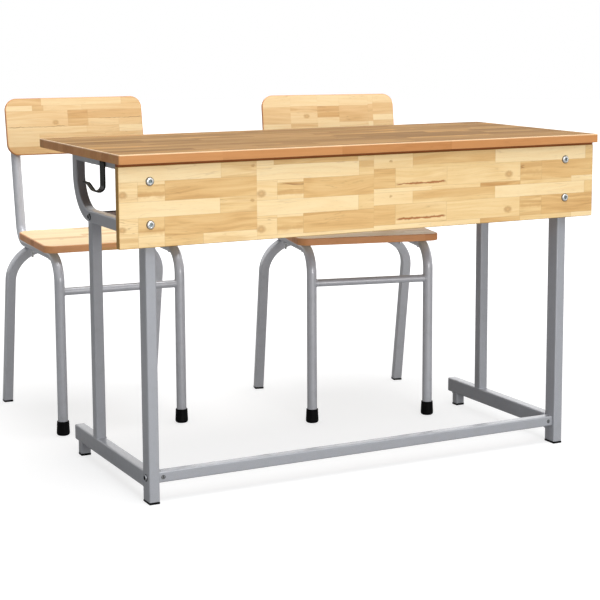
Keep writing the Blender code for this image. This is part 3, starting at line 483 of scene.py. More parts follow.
def thicken(shape, height, arris):
    lifted = bmesh.ops.extrude_face_region(shape, geom=shape.faces[:])["geom"]
    bmesh.ops.translate(shape, vec=(0, 0, height), verts=onlyVerts(lifted))
    bmesh.ops.recalc_face_normals(shape, faces=shape.faces)
    roundOff(shape, shape.edges[:], arris)
    return shape


def blockShape(size, middle=(0, 0, 0)):
    shape = bmesh.new()
    bmesh.ops.create_cube(shape, size=1)
    bmesh.ops.scale(shape, vec=size, verts=shape.verts)
    bmesh.ops.translate(shape, vec=middle, verts=shape.verts)
    return shape


def roundedBox(low, high, rounding):
    low, high = Vector(low), Vector(high)
    shape = blockShape(high - low, (low + high) / 2)
    roundOff(shape, shape.edges[:], rounding)
    return shape


# an open tube section: (radius,) when round, or (width, depth, corner radius)
def sectionLoop(section, at, along, across):
    if len(section) == 1:
        shape = bmesh.new()
        bmesh.ops.create_circle(shape, cap_ends=False, segments=28, radius=section[0])
    else:
        width, depth, corner = section
        shape = flatSheet(width, depth)
        roundOff(shape, shape.verts[:], corner, 5, "VERTICES")
        bmesh.ops.delete(shape, geom=shape.faces[:], context="FACES_ONLY")
    turn = Matrix((across, along.cross(across), along)).transposed().to_4x4()
    bmesh.ops.transform(shape, matrix=Matrix.Translation(at) @ turn, verts=shape.verts)
    return shape


def pullLoop(shape, loop, way):
    made = bmesh.ops.extrude_edge_only(shape, edges=loop)["geom"]
    moved = set(onlyVerts(made))
    bmesh.ops.translate(shape, vec=way, verts=list(moved))
    return [edge for edge in onlyEdges(made) if edge.verts[0] in moved and edge.verts[1] in moved]


# a bent tube or bar: its section is pulled along the straights and spun round each bend
# its ends stay open unless an arris is given, which closes them and eases their edges
def bendTube(section, route, radii=(), across=xAxis, arris=0.0):
    route = [Vector(point) for point in route]
    here = route[0]
    along = (route[1] - here).normalized()
    shape = sectionLoop(section, here, along, across)
    first = loop = shape.edges[:]
    for corner, after, radius in zip(route[1:], route[2:], radii):
        onward = (after - corner).normalized()
        turn = along.angle(onward)
        reach = radius * math.tan(turn / 2)
        start = corner - along * reach
        loop = pullLoop(shape, loop, start - here)
        axis = along.cross(onward).normalized()
        verts = list({vert for edge in loop for vert in edge.verts})
        steps = max(8, round(math.degrees(turn) / 4.5))
        spun = bmesh.ops.spin(shape, geom=verts + loop, cent=start + axis.cross(along) * radius, axis=axis,
                              angle=turn, steps=steps)
        loop = onlyEdges(spun["geom_last"])
        here = corner + onward * reach
        along = onward
    loop = pullLoop(shape, loop, route[-1] - here)
    if arris:
        for end in (first, loop):
            bmesh.ops.edgeloop_fill(shape, edges=end)
        roundOff(shape, first + loop, arris)
    return shape


# a turned shape: the profile of (radius, height) pairs is spun round +z, then set at a place facing along
def turnShape(profile, at=(0, 0, 0), along=zAxis, steps=40):
    shape = bmesh.new()
    points = [bmesh.ops.create_vert(shape, co=(radius, 0, height))["vert"][0] for radius, height in profile]
    line = [shape.edges.new(pair) for pair in zip(points, points[1:])]
    bmesh.ops.spin(shape, geom=points + line, cent=(0, 0, 0), axis=zAxis, angle=math.tau, steps=steps,
                   use_merge=True)
    bmesh.ops.remove_doubles(shape, verts=shape.verts, dist=0.00001)
    return setAt(shape, at, along)


def rodShape(radius, length, at=(0, 0, 0), along=zAxis, arris=0.0):
    return turnShape([(0, 0), (radius - arris, 0), (radius, arris), (radius, length - arris),
                      (radius - arris, length), (0, length)], at, along, 28)


def hexPrism(at, along, width, height):      # width across the flats
    shape = bmesh.new()
    bmesh.ops.create_circle(shape, cap_ends=True, segments=6, radius=width / math.sqrt(3))
    return setAt(thicken(shape, height, width * 0.05), at, along)


# zones run along x, each with rows from its top edge down: (height, [(x end, tone, streak), ...])
# patches are single blocks laid over them: (x start, x end, from, to under the top edge, tone, streak)
def cutLamellas(shape, zones, top, patches=()):
    place = shape.verts.layers.float_vector.new("grainPlace")
    layer = shape.loops.layers.float_color.new("lamella")
    sides = shape.loops.layers.float_color.new("blockSide")

    def cut(faces, at, facing):
        geometry = {item for face in faces for item in (face, *face.edges, *face.verts)}
        bmesh.ops.bisect_plane(shape, geom=list(geometry), dist=0.000005, plane_co=at, plane_no=facing)

    def within(low, high, axis, faces):
        return [face for face in faces if low <= face.calc_center_median()[axis] < high]

    def markBlock(start, end, lower, upper, tone, streak, faces):
        marks = (tone, chance.random(), streak, 1)
        for face in within(start, end, 0, faces):
            for loop in face.loops:
                x, y = loop.vert.co.xy
                loop[layer] = marks
                loop[sides] = (x - start, end - x, upper - y, y - lower)

    left = -10.0
    for right, rows in zones:
        cut(shape.faces[:], (right, 0, 0), xAxis)
    for right, rows in zones:
        level = top
        for height, blocks in rows:
            lower, upper = level - height, level + (1 if level == top else 0)
            cut(within(left, right, 0, shape.faces), (0, lower, 0), yAxis)
            start = left
            for end, tone, streak in blocks:
                cut(within(lower, upper, 1, within(left, right, 0, shape.faces)), (end, 0, 0), xAxis)
                strip = within(lower, upper, 1, within(left, right, 0, shape.faces))
                markBlock(start, end, lower, upper, tone, streak, strip)
                start = end
            level = lower
        left = right
    for start, end, upper, lower, tone, streak in patches:
        lower, upper = top - lower, top - upper
        for at, facing in (((start, 0, 0), xAxis), ((end, 0, 0), xAxis),
                           ((0, lower, 0), yAxis), ((0, upper, 0), yAxis)):
            near = [face for face in shape.faces
                    if min(v.co.x for v in face.verts) < end and max(v.co.x for v in face.verts) > start
                    and min(v.co.y for v in face.verts) < upper and max(v.co.y for v in face.verts) > lower]
            cut(near, at, facing)
        markBlock(start, end, lower, upper, tone, streak, within(lower, upper, 1, shape.faces))
    for vert in shape.verts:
        vert[place] = vert.co


blockwork = {"row": (0.026, 0.044), "leastRow": 0.014, "block": (0.09, 0.34), "leastBlock": 0.03,
             "toneBias": 1.3, "streakedShare": 0.12}


# rows of random blocks for the boards whose layout the photo doesn't show
def randomZones(width, depth, light=0.0, dark=0.8):
    rows = []
    left = depth
    while left > 0:
        height = min(chance.uniform(*blockwork["row"]), left)
        height = left if left - height < blockwork["leastRow"] else height
        blocks = []
        at = -width / 2
        while at < width / 2:
            at += chance.uniform(*blockwork["block"])
            at = 1.0 if at > width / 2 - blockwork["leastBlock"] else at
            tone = light + (dark - light) * chance.random() ** blockwork["toneBias"]
            blocks.append((at, tone, 1.0 if chance.random() < blockwork["streakedShare"] else 0.0))
        rows.append((height, blocks))
        left -= height
    rows[-1] = (rows[-1][0] + 1.0, rows[-1][1])
    return [(10.0, rows)]


# a board in its own frame, centred, its face at +z
# its materials are 0 the faces, 1 the edge band and 2 the band's rim, lighter as a painted highlight
def shapeBoard(size, corners, zones, arris=0.0011, band=0.0012, rim=0.0, patches=()):
    width, depth, thickness = size
    shape = blockShape(size)
    for radius, back in zip(corners, (True, False)):
        upright = [edge for edge in shape.edges
                   if abs(edge.verts[0].co.z - edge.verts[1].co.z) > thickness / 2
                   and abs(edge.verts[0].co.x) > width * 0.499 and (edge.verts[0].co.y > 0) == back]
        roundOff(shape, upright, radius, 12 if radius > 0.01 else 4)
    shape.normal_update()
    flat = [face for face in shape.faces if abs(face.normal.z) > 0.9]
    roundOff(shape, list({edge for face in flat for edge in face.edges}), arris, 3)
    shape.normal_update()
    flat = [face for face in shape.faces if abs(face.normal.z) > 0.9999]
    if band:
        bmesh.ops.inset_region(shape, faces=flat, thickness=band, use_even_offset=True)
        paintFaces(shape.faces, 1)
        paintFaces(flat, 0)
        level = thickness / 2 - rim
        sliceAt(shape, (0, 0, level), zAxis)
        paintFaces([face for face in shape.faces
                    if face.material_index and face.calc_center_median().z > level], 2)
    cutLamellas(shape, zones, depth / 2, patches)
    return shape


def boardPlace(node):
    low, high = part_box(node)
    return Matrix.Translation((low + high) / 2), high - low


# cuts a flat sheet at the given lines and takes away the faces that drop names
def notchSheet(shape, lines, drop):
    for at, facing in lines:
        sliceAt(shape, at, facing)
    dropped = [face for face in shape.faces if drop(face.calc_center_median())]
    bmesh.ops.delete(shape, geom=dropped, context="FACES")
    bmesh.ops.dissolve_limit(shape, angle_limit=0.01, verts=shape.verts, edges=shape.edges)


top = {"corner": 0.003, "rim": 0.0022, "tones": (0.12, 0.6)}
panel = {
    "corner": 0.0016, "arris": 0.0009, "band": 0.0003, "ends": (-0.2855, 0.0, 10.0),
    "left": [(0.0325, [(-0.368, 0.06, 0), (9, 0.4, 0.5)]),
             (0.0415, [(-0.555, 0.25, 0.3), (-0.495, 0.58, 0.9), (9, 0.74, 0)]),
             (0.0330, [(-0.371, 0.06, 0), (9, 0.4, 0.5)]),
             (0.0400, [(-0.555, 0.25, 0.3), (-0.497, 0.55, 0.9), (9, 0.74, 0)]),
             (1.0, [(-0.555, 0.4, 0.6), (-0.497, 0.3, 0), (-0.41, 0.66, 0), (9, 0.22, 0.4)])],
    "middle": [(0.0110, [(-0.245, 0.12, 0), (-0.04, 0.72, 0.3), (9, 0.3, 0)]),
               (0.0320, [(-0.037, 0.08, 0), (9, 0.45, 0.6)]),
               (0.0430, [(-0.237, 0.25, 0.3), (-0.174, 0.58, 0.9), (9, 0.74, 0)]),
               (0.0330, [(-0.039, 0.08, 0), (9, 0.45, 0.6)]),
               (0.0430, [(-0.238, 0.25, 0.3), (-0.175, 0.56, 0.9), (9, 0.74, 0)]),
               (1.0, [(9, 0.15, 0)])],
    "right": [(0.0320, [(0.1, 0.25, 0), (0.32, 0.68, 0.3), (0.575, 0.1, 0), (9, 0.5, 0)]),
              (0.0440, [(0.055, 0.74, 0), (0.19, 0.4, 0.2), (0.39, 0.38, 0), (0.45, 0.6, 0.8), (9, 0.76, 0)]),
              (0.0090, [(0.15, 0.15, 0), (0.28, 0.35, 0), (0.39, 0.84, 0), (0.536, 0.45, 0), (9, 0.1, 0)]),
              (0.0280, [(0.1, 0.25, 0), (0.32, 0.66, 0.3), (0.573, 0.1, 0), (9, 0.5, 0)]),
              (0.0450, [(0.055, 0.74, 0), (0.189, 0.4, 0.2), (0.389, 0.38, 0), (0.45, 0.6, 0.8),
                        (9, 0.76, 0)]),
              (1.0, [(0.148, 0.12, 0), (0.28, 0.3, 0), (0.39, 0.8, 0), (0.536, 0.45, 0), (9, 0.1, 0)])],
    "patches": [(-0.555, -0.495, 0.0325, 0.0395, 0.2, 0), (-0.555, -0.495, 0.063, 0.074, 0.28, 0),
                (-0.555, -0.497, 0.137, 0.147, 0.28, 0), (-0.237, -0.174, 0.043, 0.050, 0.2, 0),
                (-0.237, -0.174, 0.076, 0.086, 0.26, 0), (-0.238, -0.175, 0.119, 0.1245, 0.2, 0),
                (-0.238, -0.175, 0.151, 0.162, 0.26, 0), (0.1, 0.32, 0.0265, 0.034, 0.46, 0),
                (0.1, 0.32, 0.104, 0.113, 0.46, 0), (0.535, 0.6, 0.0715, 0.0835, 0.06, 0)],
}
gapShadeStrip = {"setback": 0.0015, "depth": 0.0145, "gap": 0.0002, "corner": 0.0008, "arris": 0.0006}
shelf = {"notch": (0.014, 0.020), "arris": 0.0008, "tones": (0.1, 0.9)}
batten = {"corner": 0.001, "arris": 0.0008, "depth": 0.02, "tones": (0.1, 0.7)}


def buildTop():
    place, size = boardPlace("desk_top")
    board = shapeBoard(size, (top["corner"],) * 2, randomZones(size.x, size.y, *top["tones"]), rim=top["rim"])
    deskPiece("deskTop", board, "top_board", [wood["top"], wood["edgeBand"], wood["arris"]], "desk_top",
              place=place)


def buildPanel():
    place, size = boardPlace("modesty_panel")
    zones = list(zip(panel["ends"], (panel["left"], panel["middle"], panel["right"])))
    board = shapeBoard((size.x, size.z, size.y), (panel["corner"],) * 2, zones, panel["arris"], panel["band"],
                       patches=panel["patches"])
    deskPiece("modestyPanel", board, "rubberwood", [wood["panel"], wood["panelEdge"], wood["panelEdge"]],
              "modesty_panel", place=place @ Matrix.Rotation(math.pi / 2, 4, "X"))


# a thin dark strip between the panel and the desk top: painted shade, standing in for the shade line under
# the top's overhang
def buildGapShadeStrip():
    low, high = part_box("modesty_panel")
    bottom, underside = high.z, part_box("desk_top")[0].z - gapShadeStrip["gap"]
    depth = gapShadeStrip["depth"]
    board = shapeBoard((high.x - low.x, depth, underside - bottom), (gapShadeStrip["corner"],) * 2,
                       [(10.0, [(9, [(9, 0.5, 0)])])], gapShadeStrip["arris"], 0)
    at = ((low.x + high.x) / 2, low.y + gapShadeStrip["setback"] + depth / 2, (underside + bottom) / 2)
    deskPiece("panelTopShadeStrip", board, "shelf_board", [wood["gapShade"]], place=Matrix.Translation(at))


def buildShelf():
    place, size = boardPlace("book_shelf")
    notchX, notchY = size.x / 2 - shelf["notch"][0], size.y / 2 - shelf["notch"][1]
    board = flatSheet(size.x, size.y)
    notchSheet(board, (((notchX, 0, 0), xAxis), ((-notchX, 0, 0), xAxis), ((0, notchY, 0), yAxis)),
               lambda middle: abs(middle.x) > notchX and middle.y > notchY)
    thicken(board, size.z, shelf["arris"])
    bmesh.ops.translate(board, vec=(0, 0, -size.z / 2), verts=board.verts)
    cutLamellas(board, randomZones(size.x, size.y, *shelf["tones"]), size.y / 2)
    deskPiece("bookShelf", board, "shelf_board", [wood["shelf"]], "book_shelf", place=place)


def buildBatten():
    place, size = boardPlace("shelf_batten")
    board = shapeBoard(size, (batten["corner"],) * 2, randomZones(size.x, batten["depth"], *batten["tones"]),
                       batten["arris"], 0)
    deskPiece("shelfBatten", board, "rubberwood", [wood["board"]], "shelf_batten", place=place)


buildTop()
buildPanel()
buildGapShadeStrip()
buildShelf()
buildBatten()
print("desk boards ready")


deskTube = {"corner": 0.0032, "arris": 0.0005, "bowDepth": 0.028, "bowBend": 0.094, "bead": 0.0011,
            "beadOut": 0.0008}
floorCap = {"flange": 0.005, "inset": 0.0019, "overlap": 0.001, "rounding": 0.0012}
railPlug = {"inset": 0.0016, "depth": 0.004, "rounding": 0.0008}
shelfRail = {"wall": 0.002, "plate": 0.003, "arris": 0.0005}


# a welded seam: a thin bead round the box of a rectangular tube, at a level along its axis
def weldRound(low, high, axis, level):
    first, second = [n for n in range(3) if n != axis]
    corners = []
    for a, b in ((0.5, 0), (1, 0), (1, 1), (0, 1), (0, 0), (0.5, 0)):
        point = axes[axis] * level
        point[first] = low[first] + (high[first] - low[first]) * a
        point[second] = low[second] + (high[second] - low[second]) * b
        corners.append(point)
    return bendTube((deskTube["bead"],), corners, [deskTube["corner"]] * 4, axes[axis])


def straightTube(node, axis, wide=0):
    low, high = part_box(node)
    size = high - low
    start = (low + high) / 2
    end = start.copy()
    start[axis], end[axis] = low[axis], high[axis]
    return bendTube((size[wide], size[3 - axis - wide], deskTube["corner"]), [start, end], (), axes[wide],
                    deskTube["arris"])


def capShape(node):
    low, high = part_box(node)
    level = floorCap["flange"]
    inset = Vector((floorCap["inset"], floorCap["inset"], 0))
    plugLow = Vector((low.x, low.y, level - floorCap["overlap"])) + inset
    return joinShapes(roundedBox(low, (high.x, high.y, level), floorCap["rounding"]),
                      roundedBox(plugLow, high - inset, floorCap["rounding"]))


def buildShelfBow(side):
    low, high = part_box(side + "_shelf_bow")
    middle, depth = (low.x + high.x) / 2, deskTube["bowDepth"]
    level, upright = low.z + depth / 2, high.y - depth / 2
    bow = bendTube((high.x - low.x, depth, deskTube["corner"]),
                   [(middle, low.y, level), (middle, upright, level), (middle, upright, high.z)],
                   [deskTube["bowBend"]], xAxis, deskTube["arris"])
    deskPiece(side + "ShelfBow", bow, "powder_coat", [powder], side + "_shelf_bow")


def buildFrameWelds(side, way):
    low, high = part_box(side + "_shelf_bow")
    rearLow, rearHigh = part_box(side + "_rear_leg")
    railLow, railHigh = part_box(side + "_foot_rail")
    stubLow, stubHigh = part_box(side + "_stub_foot")
    bowEnd = Vector((high.x, high.y, low.z + deskTube["bowDepth"]))
    beads = joinShapes(weldRound(rearLow, rearHigh, 2, railHigh.z),
                       weldRound(rearLow, rearHigh, 2, rearHigh.z),
                       weldRound(stubLow, stubHigh, 2, stubHigh.z),
                       weldRound(railLow, railHigh, 1, railLow.y),
                       weldRound(low, bowEnd, 1, low.y),
                       weldRound(*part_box(side + "_front_leg"), 2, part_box(side + "_top_rail")[0].z))
    # moved in, because the outer face is ground nearly flush
    bmesh.ops.translate(beads, vec=(-way * deskTube["beadOut"], 0, 0), verts=beads.verts)
    deskPiece(side + "FrameWelds", beads, "powder_coat", [powder])


# the straight tubes of a side frame, with the axis each one runs along
sideTubes = (("front_leg", 2), ("rear_leg", 2), ("top_rail", 1), ("foot_rail", 1), ("stub_foot", 2))


def buildSideFrame(side, way):
    buildShelfBow(side)
    for part, axis in sideTubes:
        node = side + "_" + part
        name = side + part.replace("_", " ").title().replace(" ", "")
        deskPiece(name, straightTube(node, axis), "powder_coat", [powder], node)
    for end in ("front", "rear"):
        node = f"{side}_{end}_cap"
        deskPiece(f"{side}Desk{end.title()}Cap", capShape(node), "black_plastic", [capPlastic], node)
    buildFrameWelds(side, way)

    low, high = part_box(side + "_foot_rail")
    inset = Vector((railPlug["inset"], 0, railPlug["inset"]))
    front = Vector((low.x, high.y - railPlug["depth"], low.z))
    plug = roundedBox(front + inset, high - inset, railPlug["rounding"])
    deskPiece(side + "FootRailPlug", plug, "black_plastic", [capPlastic])


# an angle with an end plate on each end
def buildShelfRail():
    low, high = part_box("rear_shelf_rail")
    wall, plate, arris = shelfRail["wall"], shelfRail["plate"], shelfRail["arris"]
    width, height = high.y - low.y, high.z - low.z
    angle = flatSheet(width, height)
    bmesh.ops.translate(angle, vec=(width / 2, height / 2, 0), verts=angle.verts)
    notchSheet(angle, (((width - wall, 0, 0), xAxis), ((0, wall, 0), yAxis)),
               lambda middle: middle.x < width - wall and middle.y > wall)
    thicken(angle, high.x - low.x, arris)
    turn = Matrix((zAxis, xAxis, yAxis)).to_4x4()
    bmesh.ops.transform(angle, matrix=Matrix.Translation(low) @ turn, verts=angle.verts)
    ends = [roundedBox((x, low.y, low.z), (x + plate, high.y, high.z), arris)
            for x in (low.x, high.x - plate)]
    deskPiece("rearShelfRail", joinShapes(angle, *ends), "powder_coat", [powder], "rear_shelf_rail")


for side, way in bothSides:
    buildSideFrame(side, way)
deskPiece("frontCrossBar", straightTube("front_cross_bar", 0, 1), "powder_coat", [powder], "front_cross_bar")
buildShelfRail()
print("desk frame ready")


bolts = {
    # washer is the thin dark ring under a head, painted shade round its edge
    "panel": {"head": 0.0084, "height": 0.0032, "socket": 0.0076, "washer": 0.0009},
    "frame": {"head": 0.0070, "height": 0.0030, "socket": 0.0092, "washer": 0.0009},
    "backrest": {"head": 0.0054, "height": 0.0029, "socket": 0.0034, "washer": 0.0},
    "screw": {"head": 0.0045, "height": 0.0022, "socket": 0.0030, "washer": 0.0},
    "seat": 0.004, "screwLength": 0.014, "shank": 0.003, "nut": (0.010, 0.005), "nutSetIn": 0.008,
    "panelTail": 0.0007, "shelfThread": (0.003, 0.0024), "screwPlaces": (0.2, 0.5, 0.8),
}
headForm = {"rimShare": 0.22, "mouthShare": 0.66, "pitShare": 0.55, "edge": 0.0003, "keyDrop": 0.0005,
            "shadeRingEdge": 0.0002, "overlap": 0.0001}
thread = {"pitch": 0.001, "coreShare": 0.86, "tipShare": 0.6, "tip": 0.0006}
barrelNut = {"radius": 0.0042, "setback": 0.0348, "edge": 0.0003, "proud": 0.0001, "slotHalf": 0.0009,
             "slotDepth": 0.0006, "slotShare": 0.8, "slotRounding": 0.0002,
             "rim": [(-0.0001, 0), (0.0005, 0), (0.0004, 0.0003), (-0.0001, 0.0003), (-0.0001, 0)]}
drainHole = {"setback": 0.0055, "forward": 0.003,
             "profile": [(0, -0.0004), (0.0021, -0.0004), (0.0027, 0.0001), (0.0021, 0.0002), (0.0016, 0),
                         (0, -0.0001)]}


# a button head facing +z with a hexagonal socket, on a thin dark ring that is painted shade round its edge;
# its flat side lies at zero
def buttonHead(spec):
    radius, height, socket, lift = spec["head"], spec["height"], spec["socket"], spec["washer"]
    ease, lap = headForm["edge"], headForm["overlap"]
    rim, mouth = height * headForm["rimShare"], socket * headForm["mouthShare"]
    arc = [math.radians(degrees) for degrees in range(0, 91, 9)]
    dome = [(mouth + (radius - mouth) * math.cos(a), rim + (height - rim) * math.sin(a)) for a in arc]
    outline = [(0, 0), (radius - ease, 0), (radius, ease), *dome, (mouth - ease, height - ease)]
    shape = turnShape(outline, steps=48)
    lip = [edge for edge in shape.edges if edge.is_boundary]
    before = set(shape.edges)
    key = bmesh.ops.create_circle(shape, cap_ends=False, segments=6, radius=socket / math.sqrt(3))["verts"]
    bmesh.ops.translate(shape, vec=(0, 0, height - headForm["keyDrop"]), verts=key)
    bmesh.ops.subdivide_edges(shape, edges=[edge for edge in shape.edges if edge not in before], cuts=7)
    keyEdges = [edge for edge in shape.edges if edge not in before]
    bmesh.ops.bridge_loops(shape, edges=lip + keyEdges)
    outside = set(shape.faces)
    pit = pullLoop(shape, keyEdges, (0, 0, -height * headForm["pitShare"]))
    bmesh.ops.edgeloop_fill(shape, edges=pit)
    # the socket's inside takes material 2, darker as painted shade
    paintFaces([face for face in shape.faces if face not in outside], 2)
    if lift:
        bmesh.ops.translate(shape, vec=(0, 0, lift - lap), verts=shape.verts)
        reach, ease = radius + lift, headForm["shadeRingEdge"]
        ring = turnShape([(0, 0), (reach - ease, 0), (reach, ease), (reach, lift - lap),
                          (reach - ease, lift), (0, lift)], steps=48)
        paintFaces(ring.faces, 1)
        shape = joinShapes(shape, ring)
    return shape


# threaded end of a bolt, along +z from zero
def threadShape(radius, length):
    pitch, core = thread["pitch"], radius * thread["coreShare"]
    turns = max(2, int(length / pitch))
    profile = [(0, 0), (core, 0)]
    for n in range(turns):
        profile += [(radius, (n + 0.5) * pitch), (core, (n + 1) * pitch)]
    end = turns * pitch + thread["tip"]
    return turnShape(profile + [(radius * thread["tipShare"], end), (0, end)], steps=24)


# wood screws that go up into a board from under a rail: heads below, at the given places
def screwsUp(places, length):
    spec = bolts["screw"]
    screws = []
    for place in places:
        screws.append(setAt(buttonHead(spec), place, -zAxis))
        screws.append(setAt(threadShape(spec["head"] * 0.42, length), place, zAxis))
    return joinShapes(*screws)


def buildPanelBolts(side):
    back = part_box(side + "_front_leg")[1].y + touchGap
    for level in ("upper", "lower"):
        node = f"{side}_{level}_panel_bolt"
        low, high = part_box(node)
        x, z, face = (low.x + high.x) / 2, (low.z + high.z) / 2, low.y + bolts["seat"]
        head = setAt(buttonHead(bolts["panel"]), (x, face, z), -yAxis)
        shank = rodShape(bolts["shank"], back - face, (x, face, z), yAxis)
        end = setAt(threadShape(bolts["shank"], high.y - back - bolts["panelTail"]), (x, back, z), yAxis)
        nut = hexPrism((x, back, z), yAxis, *bolts["nut"])
        deskPiece(f"{side}{level.title()}PanelBolt", joinShapes(head, shank, end, nut), "zinc",
                  [zinc, pitShade, zincPit], node)


# the head of a bolt that goes in from the side: with its seat, its inner end and its line
def sideBolt(node, way):
    low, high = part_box(node)
    y, z = (low.y + high.y) / 2, (low.z + high.z) / 2
    outer, inner = (low.x, high.x) if way < 0 else (high.x, low.x)
    face = outer - way * bolts["seat"]
    return setAt(buttonHead(bolts["frame"]), (face, y, z), (way, 0, 0)), face, inner, y, z


# the bolt and its barrel nut, whose end shows on the bar's front with a dark ring for the gap round it and a
# dark slot, both painted shade
def buildCrossBarBolt(side, way):
    node = side + "_cross_bar_bolt"
    head, face, inner, y, z = sideBolt(node, way)
    shank = rodShape(bolts["shank"], abs(face - inner), (face, y, z), (-way, 0, 0))
    barLow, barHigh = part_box("front_cross_bar")
    half = (barHigh.y - barLow.y) / 2
    front, radius, proud = y - half, barrelNut["radius"], barrelNut["proud"]
    x = way * (abs(face) - barrelNut["setback"])
    barrel = rodShape(radius, 2 * half, (x, front - proud, z), yAxis, barrelNut["edge"])
    rim = turnShape([(radius + out, up) for out, up in barrelNut["rim"]], (x, front, z), -yAxis, 36)
    wide, tall = barrelNut["slotHalf"], radius * barrelNut["slotShare"]
    slotCut = roundedBox((x - wide, front - proud, z - tall),
                         (x + wide, front + barrelNut["slotDepth"], z + tall), barrelNut["slotRounding"])
    # the rim and the slot are painted shade
    paintFaces([*rim.faces, *slotCut.faces], 1)
    deskPiece(side + "CrossBarBolt", joinShapes(head, shank, barrel, rim, slotCut), "zinc",
              shadedFastener, node)


def buildTopRailScrews(side):
    low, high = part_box(side + "_top_rail")
    x, length = (low.x + high.x) / 2, high.y - low.y
    places = [(x, low.y + length * share, low.z) for share in bolts["screwPlaces"]]
    deskPiece(side + "TopRailScrews", screwsUp(places, high.z - low.z + bolts["screwLength"]), "zinc",
              [zinc, pitShade, pitShade])


# a dark mark on the bar's top: a shallow dish painted black as the shade inside a drain hole
def buildDrainHole(side, way):
    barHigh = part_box("front_cross_bar")[1]
    low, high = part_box(side + "_cross_bar_bolt")
    at = (way * (barHigh.x - drainHole["setback"]), (low.y + high.y) / 2 - drainHole["forward"], barHigh.z)
    drain = turnShape(drainHole["profile"], at, zAxis, 28)
    deskPiece(side + "DrainHole", drain, "powder_coat", [pitShade])


def buildShelfBolt(side, way):
    node = side + "_shelf_bolt"
    head, face, inner, y, z = sideBolt(node, way)
    setIn, length = bolts["shelfThread"]
    shank = rodShape(bolts["shank"], abs(face - inner) - setIn, (face, y, z), (-way, 0, 0))
    end = setAt(threadShape(bolts["shank"], length), (inner + way * setIn, y, z), (-way, 0, 0))
    nut = hexPrism((inner + way * bolts["nutSetIn"], y, z), (-way, 0, 0), *bolts["nut"])
    deskPiece(side + "ShelfBolt", joinShapes(head, shank, end, nut), "zinc", shadedFastener, node)


hook = {"width": 0.03, "thickness": 0.003, "stem": 0.0635, "bend": 0.013, "turn": 145.0, "arm": 0.018,
        "curl": 0.005, "tip": 0.003, "rounding": 0.0009, "arris": 0.0006,
        "screwDrop": 0.0105, "screwHalfSpan": 0.008,
        "screwHead": [(0, 0), (0.004, 0), (0.00384, 0.0007), (0.0024, 0.0014), (0.0012, 0.0016),
                      (0.0008, 0.0008), (0, 0.0008)]}


def buildHook(side, way):
    node = side + "_bag_hook"
    low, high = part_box(node)
    middle, half = (low.y + high.y) / 2, way * hook["thickness"] / 2
    stem = (high.x if way < 0 else low.x) + half
    turn = math.radians(hook["turn"])
    bendReach = hook["bend"] * math.tan(turn / 2)
    curlReach = hook["curl"] * math.tan((turn - math.pi / 2) / 2)
    rising = Vector((way * math.sin(turn), 0, -math.cos(turn)))
    start = Vector((stem, middle, high.z))
    bendCorner = start - zAxis * (hook["stem"] + bendReach)
    curlCorner = bendCorner + rising * (bendReach + hook["arm"] + curlReach)
    tip = curlCorner + xAxis * way * (curlReach + hook["tip"])
    strip = bendTube((hook["width"], hook["thickness"], hook["rounding"]),
                     [start, bendCorner, curlCorner, tip], [hook["bend"], hook["curl"]], yAxis, hook["arris"])
    level = high.z - hook["screwDrop"]
    screws = [turnShape(hook["screwHead"], (stem + half, middle + off, level), (way, 0, 0), 32)
              for off in (-hook["screwHalfSpan"], hook["screwHalfSpan"])]
    deskPiece(side + "BagHook", joinShapes(strip, *screws), "hook_black", [hookPaint], node)


for side, way in bothSides:
    buildPanelBolts(side)
    buildCrossBarBolt(side, way)
    buildTopRailScrews(side)
    buildDrainHole(side, way)
    buildShelfBolt(side, way)
for side, way in bothSides:
    buildHook(side, way)
print("desk fasteners ready")


chair = {
    "legHalf": 0.1545, "postHalf": 0.162, "legSetback": 0.003, "postSetback": 0.363, "tube": 0.0125,
    "rail": 0.4432, "lean": math.radians(11.3), "postTop": 0.79, "knee": 0.06, "hip": 0.05,
    "tubeFoot": 0.0063, "arris": 0.0006, "stretcher": 0.0095, "stretcherLevel": 0.36,
    "stretcherShare": 0.8, "screwSetback": 0.085, "screwPast": 0.010,
    "postCap": [(0, 0), (0.0122, 0), (0.0122, 0.0006), (0.0112, 0.0018), (0.008, 0.0026), (0, 0.003)],
}
chairSeat = {"size": (0.374, 0.32, 0.018), "top": 0.474, "corners": (0.045, 0.028), "tones": (0.05, 0.75),
             "arris": 0.0022, "band": 0.0012}
chairBack = {"size": (0.373, 0.15, 0.013), "corner": 0.03, "bottom": 0.662, "arris": 0.0016, "band": 0.0003,
             "screw": 0.0022, "screwPast": 0.007}
rearFrame = {"tube": 0.024, "corner": 0.0032, "half": 0.202, "bend": 0.09, "top": 0.312,
             "lean": math.radians(13.1), "drop": 0.0132, "cap": 0.005, "capHalf": 0.012,
             "capRounding": 0.001, "overrun": 0.012}
ferrule = {"sole": 0.0163, "rounding": 0.006, "underside": [(0.0085, 0.0004), (0, 0.0004)],
           "profile": [(0, 0.007), (0.0126, 0.007), (0.0126, 0.0352), (0.0131, 0.0357), (0.0145, 0.0357),
                       (0.0150, 0.0352), (0.0154, 0.026), (0.0157, 0.0255), (0.0154, 0.025),
                       (0.0163, 0.0085)]}
stud = {"setback": 0.255, "radius": 0.003, "tail": 0.0185, "shank": 0.0345, "nut": (0.010, 0.0046),
        "nutDrop": 0.0054, "washerDrop": 0.001,
        "washer": [(0.0032, 0), (0.0068, 0), (0.0070, 0.0002), (0.0070, 0.0008), (0.0068, 0.001),
                   (0.0032, 0.001), (0.0032, 0)]}
seam = {"bead": 0.0012, "out": 0.0002}
